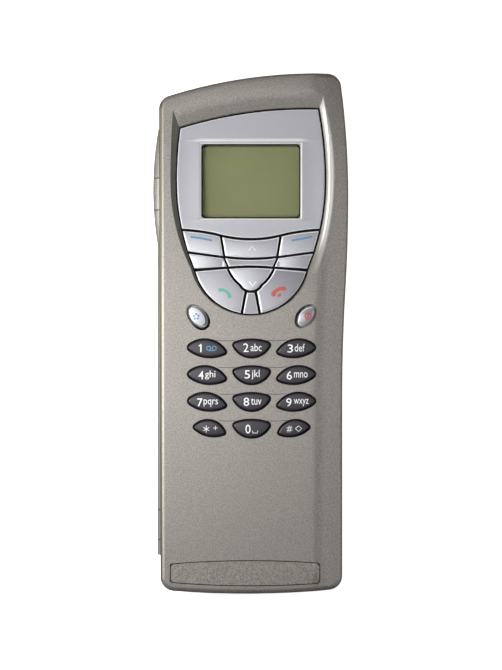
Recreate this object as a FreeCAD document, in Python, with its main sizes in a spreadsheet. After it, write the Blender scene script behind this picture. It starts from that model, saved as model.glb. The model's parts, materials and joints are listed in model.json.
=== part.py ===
"""Closed clamshell phone with an outer phone keypad and an inner keyboard and wide display.

Millimetres. +Z is up with the phone lying on its back, +Y is towards the earpiece end of the cover,
+X is away from the hinge. The origin is under the middle of the phone, on the surface it lies on.
"""
import FreeCAD, Part
import math
import os
import re
import Sketcher

Vector = FreeCAD.Vector

SIZES = [
    # outline of the cover, seen from above
    ("end_top_y", 79), ("end_top_x", 20), ("end_top_radius", 150), ("end_low_y", 79), ("end_low_x", 1.4),
    ("end_low_radius", 282), ("left_top_x", 27.8), ("left_low_x", 27.3), ("right_x", 27.9),
    ("right_top_x", 27.06), ("bulge", 1.85), ("bulge_peak_y", 42), ("bulge_start_y", -20),
    ("bulge_radius", 475), ("corner_radius", 4.2),
    # heights of the closed phone
    ("phone_height", 27), ("lid_floor", 16), ("base_top", 15.6), ("base_split", 7), ("split_gap", 0.1),
    ("base_inset", 0.35), ("rim_radius", 1.5), ("base_edge_radius", 2.6),
    # soft slope along the opening edge of the lid
    ("slope_width", 6.2), ("slope_drop", 4.05), ("slope_radius", 10),
    # hinge along the left side
    ("axis_x", -23.4), ("axis_z", 15.8), ("barrel_radius", 5), ("bump_radius", 6.35), ("pin_radius", 1.5),
    ("pin_clearance", 0.05), ("hinge_gap", 0.3), ("barrel_clearance", 0.35), ("barrel_low_y", -67.5),
    ("barrel_high_y", 62.3), ("bump_middle_y", 44), ("bump_curve", 106), ("low_knuckle_y", -62.6),
    ("low_knuckle_width", 8.8), ("high_knuckle_y", 37.8), ("high_knuckle_width", 9.4), ("pin_reach", 4.2),
    ("lid_ray", 62), ("base_ray", 69),
    # hollow of the lid
    ("lid_wall", 1.3), ("lid_hollow_left", -15.9), ("lid_middle_left", -18.2), ("lid_upper_left", -22.5),
    ("lid_upper_right", 22), ("lid_middle_z", 20.6), ("lid_upper_z", 22.9), ("lid_ceiling", 25.6),
    ("lid_upper_low_y", -67), ("hollow_clip", 3.4),
    # tilted shield that carries the small display and the menu keys
    ("front_x", 0.1), ("shield_tip_y", 5.6), ("shield_drop", 0.15), ("shield_tilt", 1.6),
    ("shield_half", 22.8), ("widest_v", 40.9), ("hip_half", 17.4), ("hip_v", 14), ("hip_narrowing", 0.95),
    ("hip_lifting", 0.25), ("shoulder_radius", 115), ("top_left_v", 57), ("top_right_v", 62.8),
    ("top_radius", 128), ("well_left", 24.4), ("well_right", 25.2), ("well_hip", 18.2), ("well_tip", 0.3),
    ("well_top_left_u", 23.6), ("well_top_left_v", 62.2), ("well_top_right_u", 22.5),
    ("well_top_right_v", 67.6), ("well_top_radius", 140), ("insert_thickness", 1.3),
    ("frame_thickness", 0.4), ("insert_gap", 0.3), ("floor_gap", 0.2), ("island", 1.5),
    # seams between the pieces of the shield, half a seam either side
    ("seam", 0.3), ("brow_end_v", 25.9), ("brow_knot_u", 10.8), ("brow_knot_v", 24.6),
    ("brow_mid_v", 23.05), ("brow_radius", 65), ("seam_top_u", 9.05), ("seam_mid_u", 8.1),
    ("seam_low_u", 7), ("row_one_side_v", 19), ("row_one_seam_v", 17.6), ("row_one_mid_v", 17.1),
    ("row_two_side_v", 13.6), ("row_two_seam_v", 14.4), ("row_two_mid_v", 14.7), ("cup_knot_u", 3.3),
    ("cup_knot_v", 9.1), ("cup_tip_v", 7.1), ("cup_radius", 12), ("tail_top_half", 1.5),
    ("tail_low_half", 2.7), ("menu_key_thickness", 0.8), ("key_bevel", 0.3),
    # small display
    ("window_width", 30.2), ("window_height", 22.7), ("window_v", 40.65), ("window_bevel", 0.5),
    ("window_lap", 1.5), ("pane_thickness", 0.7), ("phone_display_thickness", 0.9), ("pane_gap", 0.05),
    # number keys and the two oval keys
    ("keypad_x", 0.35), ("column_pitch", 13.5), ("number_row_y", -4.5), ("row_pitch", 8.11),
    ("key_gap", 0.4), ("wide_tip_u", 4.75), ("wide_tip_v", 0.25), ("wide_tip_radius", 1),
    ("point_tip_u", 5.1), ("point_tip_v", 1.1), ("point_tip_radius", 0.6), ("side_top_radius", 7.6),
    ("side_low_radius", 10.6), ("mid_tip_u", 4.7), ("mid_tip_v", 1), ("mid_tip_radius", 0.8),
    ("mid_top_radius", 15.6), ("mid_low_radius", 6.1), ("corner_key_shift", 0.8), ("corner_wide_u", 4.3),
    ("corner_wide_v", 0.45), ("corner_tip_radius", 0.5), ("corner_top_radius", 5.6),
    ("corner_low_radius", 8.5), ("corner_point_u", 4.1), ("corner_point_v", 1.25), ("key_rise", 0.15),
    ("flange_top_gap", 0.1), ("flange_thickness", 0.6), ("flange_half_u", 6.1), ("flange_half_v", 3.4),
    ("soft_stem_u", 15), ("soft_stem_v", 21.8), ("up_stem_v", 20.3), ("down_stem_v", 11.8),
    ("call_stem_u", 9.5), ("call_stem_v", 8.5), ("stem_half", 1.1), ("stem_clearance", 0.3),
    ("key_travel", 0.5), ("key_stop_gap", 0.1), ("oval_x", 16.5), ("oval_y", 5.2), ("oval_tilt", 50),
    ("oval_tip_u", 2.2), ("oval_tip_radius", 1.3), ("oval_radius", 4.8), ("oval_gap", 0.6),
    ("oval_flange_u", 4.1), ("oval_flange_v", 3),
    # boards and mats in the lid
    ("board_thickness", 1), ("mat_thickness", 0.5), ("phone_board_left", -17.9), ("phone_board_right", 21),
    ("phone_board_low_y", -66), ("phone_board_high_y", 66), ("phone_mat_high_y", 33),
    ("phone_mat_low_y", -35),
    # bare plate at the foot of the cover
    ("plate_left", 24.2), ("plate_right", 20.9), ("plate_top_y", -69), ("plate_low_y", -76.4),
    ("plate_thickness", 0.8), ("plate_gap", 0.25), ("plate_radius", 285), ("plate_corner", 1.2),
    # inside face of the lid
    ("inner_cover_thickness", 1.3), ("inner_cover_gap", 0.1), ("inner_window_length", 113),
    ("inner_window_width", 38), ("inner_window_x", 5), ("inner_window_y", -8), ("inner_view_lap", 1.4),
    ("inner_pane_thickness", 0.8), ("inner_display_thickness", 2.9), ("inner_display_lap", 1.5),
    ("command_key_y", 61.5), ("command_key_x", -9), ("command_pitch", 9.4), ("command_half_u", 2.9),
    ("command_half_v", 4.6), ("command_rise", 0.25), ("command_flange", 0.8), ("command_lap", 0.6),
    ("command_travel", 0.4), ("command_clip", 1.1), ("command_key_gap", 0.2), ("command_stem", 0.7),
    # base: keyboard deck, keys and hollow
    ("base_wall", 1.5), ("deck_left", -15.9), ("deck_right", 25.7), ("deck_half_y", 74.5), ("deck_clip", 2),
    ("deck_depth", 1.2), ("deck_thickness", 1.2), ("base_hollow_left", -15.6), ("keycap_height", 1),
    ("key_columns", 14), ("column_step", 10.4), ("row_step", 6.9), ("first_row_x", -6.4),
    ("keycap_gap", 1.1), ("keycap_depth", 5.2), ("program_key_x", -12.7), ("program_key_step", 18.2),
    ("program_key_length", 15.4), ("program_key_depth", 3.9), ("deck_hole_gap", 0.25),
    ("keyboard_mat_gap", 0.3), ("mat_clip", 3.4), ("inner_travel", 0.5),
    # battery, latch and boards in the base
    ("battery_left", -18.5), ("battery_right", 22.5), ("battery_low_y", -50), ("battery_high_y", 24),
    ("battery_recess", 0.1), ("battery_top", 6.2), ("battery_gap", 0.2), ("bay_wall", 1),
    ("battery_clip", 2), ("latch_y", 29.6), ("latch_half_u", 6), ("latch_half_v", 2), ("latch_travel", 2),
    ("latch_thickness", 1.2), ("latch_flange", 1.4), ("latch_recess", 0.2), ("main_board_lift", 0.3),
    ("board_edge", 1),
    # small parts in the base
    ("screw_x", 21.8), ("screw_low_y", -70), ("screw_top_left_y", 64), ("screw_top_right_x", 14.3),
    ("screw_top_right_y", 68), ("screw_head_radius", 2), ("screw_head_height", 1.3),
    ("screw_shank_radius", 0.9), ("screw_length", 8.5), ("screw_recess", 0.4), ("boss_half", 2.9),
    ("speaker_radius", 7.5), ("speaker_thickness", 3), ("speaker_x", 4), ("speaker_y", 52), ("ear_x", 0),
    ("ear_y", 66), ("ear_radius", 4.6), ("ear_thickness", 2.2), ("slot_length", 6),
    ("speaker_slot_length", 9), ("slot_width", 0.9), ("slot_step", 1.8), ("microphone_y", -69),
    ("microphone_radius", 2.4), ("microphone_thickness", 1.6), ("microphone_slot", 1.6),
    ("microphone_x", 0), ("reader_x", 6), ("reader_y", -56), ("reader_half_x", 14), ("reader_half_y", 11),
    ("reader_thickness", 2.6), ("jack_x", -9), ("jack_half", 2.7), ("jack_z", 10.2), ("jack_depth", 9.5),
    ("jack_bore_radius", 1.75), ("jack_bore_depth", 8.5), ("jack_y", 78.3), ("connector_x", 4),
    ("connector_half", 6.5), ("connector_half_z", 1.9), ("connector_depth", 7), ("connector_mouth", 4.5),
    ("connector_lip", 0.7), ("port_gap", 0.1), ("infrared_x", -4), ("infrared_half", 6.5),
    ("infrared_half_z", 2), ("infrared_thickness", 1.8), ("antenna_half", 11), ("antenna_x", -0.5),
    ("antenna_depth", 3), ("antenna_height", 3.2), ("antenna_edge", 1.5),
]
NAMES = {name for name, _ in SIZES}

document = FreeCAD.newDocument("phone")
sheet = document.addObject("Spreadsheet::Sheet", "sizes")
for line, (name, value) in enumerate(SIZES, 1):
    sheet.set(f"A{line}", name)
    sheet.set(f"B{line}", str(value))
    sheet.setAlias(f"B{line}", name)
document.recompute()


def number(expression):
    """Value of an expression written in the names of the sheet."""
    result = sheet.evalExpression(str(expression))
    return float(getattr(result, "Value", result))


def tie(expression):
    """The same expression, as another object of the document reads it."""
    return re.sub(r"[a-z][a-z_]+", lambda m: "sizes." + m.group() if m.group() in NAMES else m.group(),
                  str(expression))


def bind(thing, prop, expression):
    thing.setExpression(prop, tie(expression))


def body(label, x="0", y="0", z="0", tilt=None):
    """A piece of the phone, placed in the frame of the whole, and tilted about X where tilt says."""
    piece = document.addObject("PartDesign::Body", label)
    piece.Label = label
    piece.AllowCompound = True
    if tilt:
        piece.Placement = FreeCAD.Placement(Vector(), FreeCAD.Rotation(Vector(-1, 0, 0), number(tilt)))
        bind(piece, "Placement.Rotation.Angle", tilt)
    for letter, place in (("x", x), ("y", y), ("z", z)):
        bind(piece, f"Placement.Base.{letter}", place)
    return piece


def sketch(owner, name, height="0", plane="XY_Plane", across="0"):
    """A sketch on one of the body's own planes, moved along the plane's normal by height."""
    drawing = owner.newObject("Sketcher::SketchObject", name)
    drawing.AttachmentSupport = [(next(o for o in owner.Origin.OriginFeatures if o.Role == plane), "")]
    drawing.MapMode = "FlatFace"
    bind(drawing, "AttachmentOffset.Base.z", height)
    bind(drawing, "AttachmentOffset.Base.x", across)
    return drawing


def limit(drawing, joins, limits):
    """Add the joins and dimensions of an outline. Each dimension is driven by an expression."""
    first = drawing.ConstraintCount
    sized = [Sketcher.Constraint(kind, *where, number(expression)) for kind, *where, expression in limits]
    drawing.addConstraint([Sketcher.Constraint(*join) for join in joins] + sized)
    for index, (*_, expression) in enumerate(limits, first + len(joins)):
        bind(drawing, f"Constraints[{index}]", expression)


def arc_between(start, end, radius, side):
    """Arc from start to end whose centre is on the left (side 1) or the right (side -1) of the way."""
    middle, step = (start + end) * 0.5, end - start
    across = Vector(-step.y, step.x, 0).normalize()
    centre = middle + across * (side * math.sqrt(radius ** 2 - (step.Length / 2) ** 2))
    first, last = (math.atan2(p.y - centre.y, p.x - centre.x) for p in (start, end))
    circle = Part.Circle(centre, Vector(0, 0, 1), radius)
    return Part.ArcOfCircle(circle, first, last) if side > 0 else Part.ArcOfCircle(circle, last, first)


def loop(drawing, corners):
    """Closed outline. A corner is (x, y), or (x, y, radius, side) where an arc leads on to the next."""
    points = [Vector(number(c[0]), number(c[1]), 0) for c in corners]
    count, base = len(corners), drawing.GeometryCount
    edges, ends, joins, limits = [], [], [], []
    for i, corner in enumerate(corners):
        start, end = points[i], points[(i + 1) % count]
        if len(corner) == 2:
            edges.append(Part.LineSegment(start, end))
            ends.append((1, 2))
        else:
            edges.append(arc_between(start, end, number(corner[2]), corner[3]))
            ends.append((1, 2) if corner[3] > 0 else (2, 1))
    for i, corner in enumerate(corners):
        after = (i + 1) % count
        joins.append(("Coincident", base + i, ends[i][1], base + after, ends[after][0]))
        limits += [("DistanceX", -1, 1, base + i, ends[i][0], corner[0]),
                   ("DistanceY", -1, 1, base + i, ends[i][0], corner[1])]
        if len(corner) > 2:
            limits.append(("Radius", base + i, corner[2]))
    drawing.addGeometry(edges, False)
    limit(drawing, joins, limits)


def ring(drawing, x, y, radius):
    base = drawing.GeometryCount
    drawing.addGeometry(Part.Circle(Vector(number(x), number(y), 0), Vector(0, 0, 1), number(radius)), False)
    limit(drawing, [], [("Radius", base, radius), ("DistanceX", -1, 1, base, 3, x),
                        ("DistanceY", -1, 1, base, 3, y)])


TIP_SIDES = 3


def lens(drawing, tips, radii, grow="0"):
    """Leaf outline: two round tips (x, y, radius), left then right, joined by a top and a low arc."""
    left, right = (Vector(number(t[0]), number(t[1]), 0) for t in tips)
    tip_radii = [number(f"{t[2]} + {grow}") for t in tips]
    top, low = (number(f"{r} + {grow}") for r in radii)

    def centre(radius, side):
        reach_left, reach_right = radius - tip_radii[0], radius - tip_radii[1]
        step = right - left
        along = (reach_left ** 2 - reach_right ** 2 + step.Length ** 2) / (2 * step.Length)
        away = math.sqrt(reach_left ** 2 - along ** 2)
        unit = Vector(step).normalize()
        return left + unit * along + Vector(-unit.y, unit.x, 0) * (side * away)

    def angle(middle, rim):
        return math.atan2(rim.y - middle.y, rim.x - middle.x)

    top_centre, low_centre = centre(top, -1), centre(low, 1)
    base = drawing.GeometryCount
    arcs = [(top_centre, top, angle(top_centre, right), angle(top_centre, left)),
            (left, tip_radii[0], angle(top_centre, left), angle(low_centre, left)),
            (low_centre, low, angle(low_centre, left), angle(low_centre, right)),
            (right, tip_radii[1], angle(low_centre, right), angle(top_centre, right))]
    drawing.addGeometry([Part.ArcOfCircle(Part.Circle(middle, Vector(0, 0, 1), radius), first, last)
                         for middle, radius, first, last in arcs], False)
    joins = [("Tangent", base + i, 2, base + (i + 1) % 4, 1) for i in range(4)]
    limits = [("Radius", base + i, f"{radius} + {grow}")
              for i, radius in enumerate((radii[0], tips[0][2], radii[1], tips[1][2]))]
    for i, tip in ((1, tips[0]), (3, tips[1])):
        limits += [("DistanceX", -1, 1, base + i, 3, tip[0]), ("DistanceY", -1, 1, base + i, 3, tip[1])]
        joins += tip_sides(drawing, base + i, arcs[i], base + i - 1, base + (i + 1) % 4)
    limit(drawing, joins, limits)


def tip_sides(drawing, guide, arc, before, after):
    """Short straight sides of equal length along the arc of a tip, which stays as a guide."""
    middle, radius, first, last = arc
    sweep = (last - first) % (2 * math.pi)
    points = [middle + Vector(math.cos(turned), math.sin(turned), 0) * radius
              for turned in (first + sweep * k / TIP_SIDES for k in range(TIP_SIDES + 1))]
    start = drawing.GeometryCount
    drawing.addGeometry([Part.LineSegment(a, b) for a, b in zip(points, points[1:])], False)
    drawing.toggleConstruction(guide)
    stop = start + TIP_SIDES - 1
    joins = [("Coincident", start, 1, before, 2), ("Coincident", stop, 2, after, 1)]
    for side in range(start, stop):
        joins += [("Coincident", side, 2, side + 1, 1), ("PointOnObject", side, 2, guide),
                  ("Equal", side, side + 1)]
    return joins


def box_loop(left, right, low, high, clip=None):
    """Rectangle, or one with its corners cut off."""
    if clip is None:
        return [(left, low), (right, low), (right, high), (left, high)]
    return [(f"{left} + {clip}", low), (f"{right} - {clip}", low), (right, f"{low} + {clip}"),
            (right, f"{high} - {clip}"), (f"{right} - {clip}", high), (f"{left} + {clip}", high),
            (left, f"{high} - {clip}"), (left, f"{low} + {clip}")]


def pad(owner, drawing, length, down=False, middle=False):
    feature = owner.newObject("PartDesign::Pad", drawing.Name + "_pad")
    feature.Profile = drawing
    bind(feature, "Length", length)
    feature.Reversed = down
    feature.Midplane = middle
    return feature


def pocket(owner, drawing, depth=None, up=False):
    """Cut down from the sketch, or up, or right through both ways where no depth is given."""
    feature = owner.newObject("PartDesign::Pocket", drawing.Name + "_pocket")
    feature.Profile = drawing
    if depth is None:
        feature.Type = "ThroughAll"
        feature.Midplane = True
    else:
        bind(feature, "Length", depth)
        feature.Reversed = up
    return feature


def turn(owner, name, profile, cut=False):
    """Revolve a profile, drawn as (radius, y), about the hinge axis."""
    drawing = sketch(owner, name, "axis_z", across="axis_x")
    loop(drawing, [(f"-({c[0]})", *c[1:]) for c in profile])
    feature = owner.newObject("PartDesign::Groove" if cut else "PartDesign::Revolution", name + "_turn")
    feature.Profile = drawing
    feature.ReferenceAxis = (drawing, ["V_Axis"])
    feature.Angle = 360
    return feature


def dress(owner, kind, size, pick):
    """Fillet or Chamfer on the edges of the last feature that pick accepts."""
    document.recompute()
    last = owner.Tip
    edges = [f"Edge{i}" for i, edge in enumerate(last.Shape.Edges, 1) if pick(edge)]
    feature = owner.newObject(f"PartDesign::{kind}", f"{owner.Name}_{kind.lower()}")
    feature.Base = (last, edges)
    bind(feature, "Radius" if kind == "Fillet" else "Size", size)
    return feature


def upright(edge):
    box = edge.BoundBox
    return box.XLength < 1e-6 and box.YLength < 1e-6


def level_at(height):
    """Picks the edges that lie at one height."""
    z = number(height)
    return lambda edge: abs(edge.BoundBox.ZMin - z) < 1e-5 and abs(edge.BoundBox.ZMax - z) < 1e-5


def end_corner(edge):
    return upright(edge) and abs(edge.BoundBox.YMin) > number("end_low_y") / 2


def top_end(x, inset):
    return (f"(end_top_y - ({inset}) - end_top_radius + sqrt(end_top_radius^2 - ({x} - end_top_x)^2))")


def low_end(x, inset):
    return (f"(({inset}) - end_low_y + end_low_radius - sqrt(end_low_radius^2 - ({x} + end_low_x)^2))")


def outline(inset):
    """The cover from above: straight hinge side, bowed ends and a swelling on the opening side."""
    span = "(bulge * 2 * bulge_radius / (bulge_peak_y - bulge_start_y))"
    peak, high = f"right_x + bulge - {inset}", f"(right_top_x - {inset})"
    rise = f"({top_end(high, inset)} - bulge_peak_y)"
    drop = "(right_x + bulge - right_top_x)"
    left_low, left_top, right = f"({inset} - left_low_x)", f"({inset} - left_top_x)", f"(right_x - {inset})"
    return [(left_low, low_end(left_low, inset), "end_low_radius", 1),
            (right, low_end(right, inset)),
            (right, "bulge_start_y", f"(bulge_peak_y - bulge_start_y - {span}) * bulge_radius / {span}", -1),
            (f"{peak} - {span}^2 / (2 * bulge_radius)", f"bulge_peak_y - {span}", "bulge_radius", 1),
            (peak, "bulge_peak_y", f"({rise}^2 + {drop}^2) / (2 * {drop})", 1),
            (high, top_end(high, inset), "end_top_radius", 1),
            (left_top, top_end(left_top, inset))]


def tray(left, right, inset, clip="hollow_clip"):
    """Outline inside the shell between two straight sides, with the same bowed ends and cut corners."""
    near, far = f"({left} + {clip})", f"({right} - {clip})"
    return [(near, low_end(near, inset), "end_low_radius", 1), (far, low_end(far, inset)),
            (right, f"{low_end(right, inset)} + {clip}"), (right, f"{top_end(right, inset)} - {clip}"),
            (far, top_end(far, inset), "end_top_radius", 1), (near, top_end(near, inset)),
            (left, f"{top_end(left, inset)} - {clip}"), (left, f"{low_end(left, inset)} + {clip}")]


def rear_notch(owner, ray, up):
    """Slope the hinge side away from the barrel, so that the lid opens past upright."""
    side, reach, far = (1 if up else -1), "base_top", "(2 * axis_x)"
    high = f"axis_z + {side} * {reach} * sin({ray})"
    drawing = sketch(owner, owner.Name + "_rear", plane="XZ_Plane")
    corners = [("axis_x", "axis_z"), (f"axis_x - {reach} * cos({ray})", high), (far, high),
               (far, f"axis_z - {side} * barrel_radius"), ("axis_x", f"axis_z - {side} * barrel_radius")]
    loop(drawing, corners)
    pocket(owner, drawing)


HOLD = {"low": ("low_knuckle_y", "(low_knuckle_y + low_knuckle_width)"),
        "high": ("high_knuckle_y", "(high_knuckle_y + high_knuckle_width)")}


def tube(low, high, radius):
    return [("0", low), (radius, low), (radius, high), ("0", high)]


def bump(y, grow="0"):
    """Radius of the thick part of the barrel at y."""
    return (f"(bump_radius - bump_curve + sqrt((bump_curve + {grow})^2 - ({y} - bump_middle_y)^2))")


def bump_start(grow="0"):
    return (f"(bump_middle_y - sqrt((bump_curve + {grow})^2"
            f" - (bump_curve - bump_radius + barrel_radius + {grow})^2))")


def thick_tube(low, high, grow="0"):
    return [("0", low), (bump(low, grow), low, f"bump_curve + {grow}", -1), (bump(high, grow), high),
            ("0", high)]


def long_tube(low, high, grow="0"):
    """Barrel that is straight at first and swells towards its high end."""
    radius = f"barrel_radius + {grow}"
    return [("0", low), (radius, low), (radius, bump_start(grow), f"bump_curve + {grow}", -1),
            (bump(high, grow), high), ("0", high)]


def widening(low, high, grow):
    """Straight-sided room for a barrel that swells towards its high end."""
    radius = f"barrel_radius + {grow}"
    return [("0", low), (radius, low), (radius, bump_start(grow)), (bump(high, grow), high), ("0", high)]


def narrowing(low, high, grow):
    """Straight-sided room for the high end of the barrel."""
    middle = f"(({low} + {high}) / 2)"
    return [("0", low)] + [(bump(y, grow), y) for y in (low, middle, high)] + [("0", high)]


def edge_normals(shape, edge):
    """Upward parts of the normals of the two faces beside an edge, and the middle of the edge."""
    middle = edge.valueAt((edge.FirstParameter + edge.LastParameter) / 2)
    faces = shape.ancestorsOfType(edge, Part.Face)
    return [abs(f.normalAt(*f.Surface.parameter(middle)).z) for f in faces], middle


def shield(inset):
    """Outline of the front insert, in its own tilted frame, with its lowest point at the origin."""
    side, hip, hip_height = f"(shield_half - {inset})", hip_u(inset), hip_at(inset)
    shoulder = f"(shoulder_radius - {inset})"

    def shoulder_u(height):
        return f"({side} - {shoulder} + sqrt({shoulder}^2 - ({height} - widest_v)^2))"

    right, left = f"(top_right_v - {inset})", f"(top_left_v - {inset})"
    return [(f"-{hip}", hip_height, low_radius(inset), 1), (hip, hip_height, flank_radius(inset), 1),
            (side, "widest_v", shoulder, 1), (shoulder_u(right), right, f"top_radius - {inset}", 1),
            (f"-{shoulder_u(left)}", left, shoulder, 1), (f"-{side}", "widest_v", flank_radius(inset), 1)]


def hip_u(inset):
    return f"(hip_half - hip_narrowing * {inset})"


def hip_at(inset):
    return f"(hip_v + hip_lifting * {inset})"


def low_radius(inset):
    rise = f"({hip_at(inset)} - {inset})"
    return f"(({hip_u(inset)}^2 + {rise}^2) / (2 * {rise}))"


def low_u(v, inset="insert_gap"):
    """Half width of the round foot of the insert at v."""
    return f"sqrt({low_radius(inset)}^2 - ({low_radius(inset)} + {inset} - ({v}))^2)"


def low_v(u, inset="insert_gap"):
    return f"({inset} + {low_radius(inset)} - sqrt({low_radius(inset)}^2 - ({u})^2))"


def flank_radius(inset):
    gap = f"(shield_half - {inset} - {hip_u(inset)})"
    return f"(((widest_v - {hip_at(inset)})^2 + {gap}^2) / (2 * {gap}))"


def flank_u(v, inset="insert_gap"):
    """Half width of the insert at v, between the hip and the widest place."""
    radius = flank_radius(inset)
    return f"(shield_half - {inset} - {radius} + sqrt({radius}^2 - (widest_v - ({v}))^2))"


def well_rim():
    """Outline of the recess where it meets the top of the cover."""
    def through(width, rise):
        return f"((({rise})^2 + ({width})^2) / (2 * ({width})))"

    low = through("hip_v + well_tip", "well_hip")
    return [("-well_hip", "hip_v", low, 1),
            ("well_hip", "hip_v", through("well_right - well_hip", "widest_v - hip_v"), 1),
            ("well_right", "widest_v",
             through("well_right - well_top_right_u", "well_top_right_v - widest_v"), 1),
            ("well_top_right_u", "well_top_right_v", "well_top_radius", 1),
            ("-well_top_left_u", "well_top_left_v",
             through("well_left - well_top_left_u", "well_top_left_v - widest_v"), 1),
            ("-well_left", "widest_v", through("well_left - well_hip", "widest_v - hip_v"), 1)]


def mirrored(corners):
    return [(f"-({c[0]})", c[1]) if len(c) == 2 else (f"-({c[0]})", c[1], c[2], -c[3]) for c in corners]


def shift(corners, x, y):
    return [(f"{x} + ({c[0]})", f"{y} + ({c[1]})", *c[2:]) for c in corners]


def square(u, v, half):
    return box_loop(f"{u} - ({half})", f"{u} + ({half})", f"{v} - ({half})", f"{v} + ({half})")


def pane(grow="0"):
    """Outline of the small display's pane, behind its opening."""
    half_u, half_v = f"(window_width / 2 + window_lap + {grow})", f"(window_height / 2 + window_lap + {grow})"
    return box_loop(f"-{half_u}", half_u, f"window_v - {half_v}", f"window_v + {half_v}")


MENU_STEMS = [("-soft_stem_u", "soft_stem_v"), ("soft_stem_u", "soft_stem_v"), ("0", "up_stem_v"),
              ("0", "down_stem_v"), ("-call_stem_u", "call_stem_v"), ("call_stem_u", "call_stem_v")]


def tilted_sketch(owner, name, height="0"):
    """A sketch of the lid in the tilted frame of the front insert."""
    drawing = sketch(owner, name)
    turned = FreeCAD.Rotation(Vector(-1, 0, 0), number("shield_tilt"))
    drawing.AttachmentOffset = FreeCAD.Placement(Vector(), turned)
    bind(drawing, "AttachmentOffset.Rotation.Angle", "shield_tilt")
    bind(drawing, "AttachmentOffset.Base.x", "front_x")
    bind(drawing, "AttachmentOffset.Base.y", f"shield_tip_y + ({height}) * sin(shield_tilt)")
    bind(drawing, "AttachmentOffset.Base.z", f"(phone_height - shield_drop) + ({height}) * cos(shield_tilt)")
    return drawing


def cover_form(piece):
    """Solid form of the lid: flat top, long soft slope on the opening side and a rounded rim."""
    drawing = sketch(piece, "cover_outline", "lid_floor")
    loop(drawing, outline("0"))
    pad(piece, drawing, "phone_height - lid_floor")
    top = level_at("phone_height")
    slope = dress(piece, "Chamfer", "slope_width",
                  lambda e: top(e) and e.CenterOfMass.x > number("right_top_x") - 1)
    slope.ChamferType = "Two distances"
    slope.FlipDirection = True
    bind(slope, "Size2", "slope_drop")
    start = number("right_top_x - slope_width")
    dress(piece, "Fillet", "slope_radius",
          lambda e: (top(e) and abs(e.CenterOfMass.x - start) < number("bulge + rim_radius")
                     and e.BoundBox.YLength > number("corner_radius")))
    dress(piece, "Fillet", "corner_radius", end_corner)
    document.recompute()
    form = piece.Tip.Shape

    def rim(edge):
        normals, middle = edge_normals(form, edge)
        walls = [n < 1e-6 for n in normals]
        return len(normals) == 2 and walls.count(True) == 1 and middle.z > number("lid_middle_z")

    dress(piece, "Fillet", "rim_radius", rim)


def cover_hollow(piece):
    """Room for the inner display, the boards and the flanges of the keys."""
    right = "right_x - lid_wall"
    low = sketch(piece, "low_hollow", "lid_floor")
    loop(low, tray("lid_hollow_left", right, "lid_wall"))
    pocket(piece, low, "lid_middle_z - lid_floor", up=True)
    middle = sketch(piece, "middle_hollow", "lid_middle_z")
    loop(middle, tray("lid_middle_left", right, "lid_wall"))
    pocket(piece, middle, "lid_upper_z - lid_middle_z", up=True)
    around = f"({low_radius('0')} + island)"
    reach = f"sqrt({around}^2 - ({low_radius('0')} - hip_v)^2)"
    shoulder = "shield_tip_y + hip_v"
    upper = sketch(piece, "upper_hollow", "lid_upper_z")
    loop(upper, [("lid_upper_left", "lid_upper_low_y"), ("lid_upper_right", "lid_upper_low_y"),
                 ("lid_upper_right", shoulder), (f"front_x + {reach}", shoulder, around, -1),
                 (f"front_x - {reach}", shoulder), ("lid_upper_left", shoulder)])
    pocket(piece, upper, "lid_ceiling - lid_upper_z", up=True)


def hinge_side(piece):
    """Slope and clearance for the barrel of the base, and the lid's own two knuckles."""
    rear_notch(piece, "lid_ray", up=True)
    gap = "barrel_clearance"
    turn(piece, "low_clearance",
         tube(f"barrel_low_y - {gap}", HOLD["low"][0], f"barrel_radius + {gap}"), cut=True)
    turn(piece, "long_clearance", widening(HOLD["low"][1], HOLD["high"][0], gap), cut=True)
    turn(piece, "high_clearance", narrowing(HOLD["high"][1], f"(barrel_high_y + {gap})", gap), cut=True)
    turn(piece, "low_knuckle", tube(*HOLD["low"], "barrel_radius"))
    turn(piece, "high_knuckle", thick_tube(*HOLD["high"]))
    for name, (low, high) in HOLD.items():
        turn(piece, f"{name}_bore", tube(low, high, "pin_radius + pin_clearance"), cut=True)


def front_well(piece):
    """Recess for the front insert, with sloped walls, a flat floor and openings through it."""
    floor_line = tilted_sketch(piece, "well_floor_line")
    loop(floor_line, shield("(-floor_gap)"))
    rim_line = sketch(piece, "well_rim_line", "phone_height")
    loop(rim_line, shift(well_rim(), "front_x", "shield_tip_y"))
    wall = piece.newObject("PartDesign::SubtractiveLoft", "well_wall")
    wall.Profile = floor_line
    wall.Sections = [rim_line]
    wall.Ruled = True
    floor = tilted_sketch(piece, "well_floor")
    loop(floor, shield("(-floor_gap)"))
    pocket(piece, floor, "insert_thickness + frame_thickness")
    openings = tilted_sketch(piece, "well_openings")
    loop(openings, pane("pane_gap * 2"))
    for u, v in MENU_STEMS:
        loop(openings, square(u, v, "stem_half + stem_clearance"))
    pocket(piece, openings, "phone_height - lid_middle_z")


CAP_TOP = "(phone_height + key_rise)"
FLANGE_TOP = "(lid_ceiling - flange_top_gap)"
MAT_Z = "(lid_middle_z + board_thickness)"
STEM_Z = f"({MAT_Z} + mat_thickness + key_travel + key_stop_gap)"
COLUMNS = {-1: "keypad_x - column_pitch", 0: "keypad_x", 1: "keypad_x + column_pitch"}
KEYPAD = [("key_1", "key_2", "key_3"), ("key_4", "key_5", "key_6"), ("key_7", "key_8", "key_9"),
          ("key_star", "key_0", "key_hash")]


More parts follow.
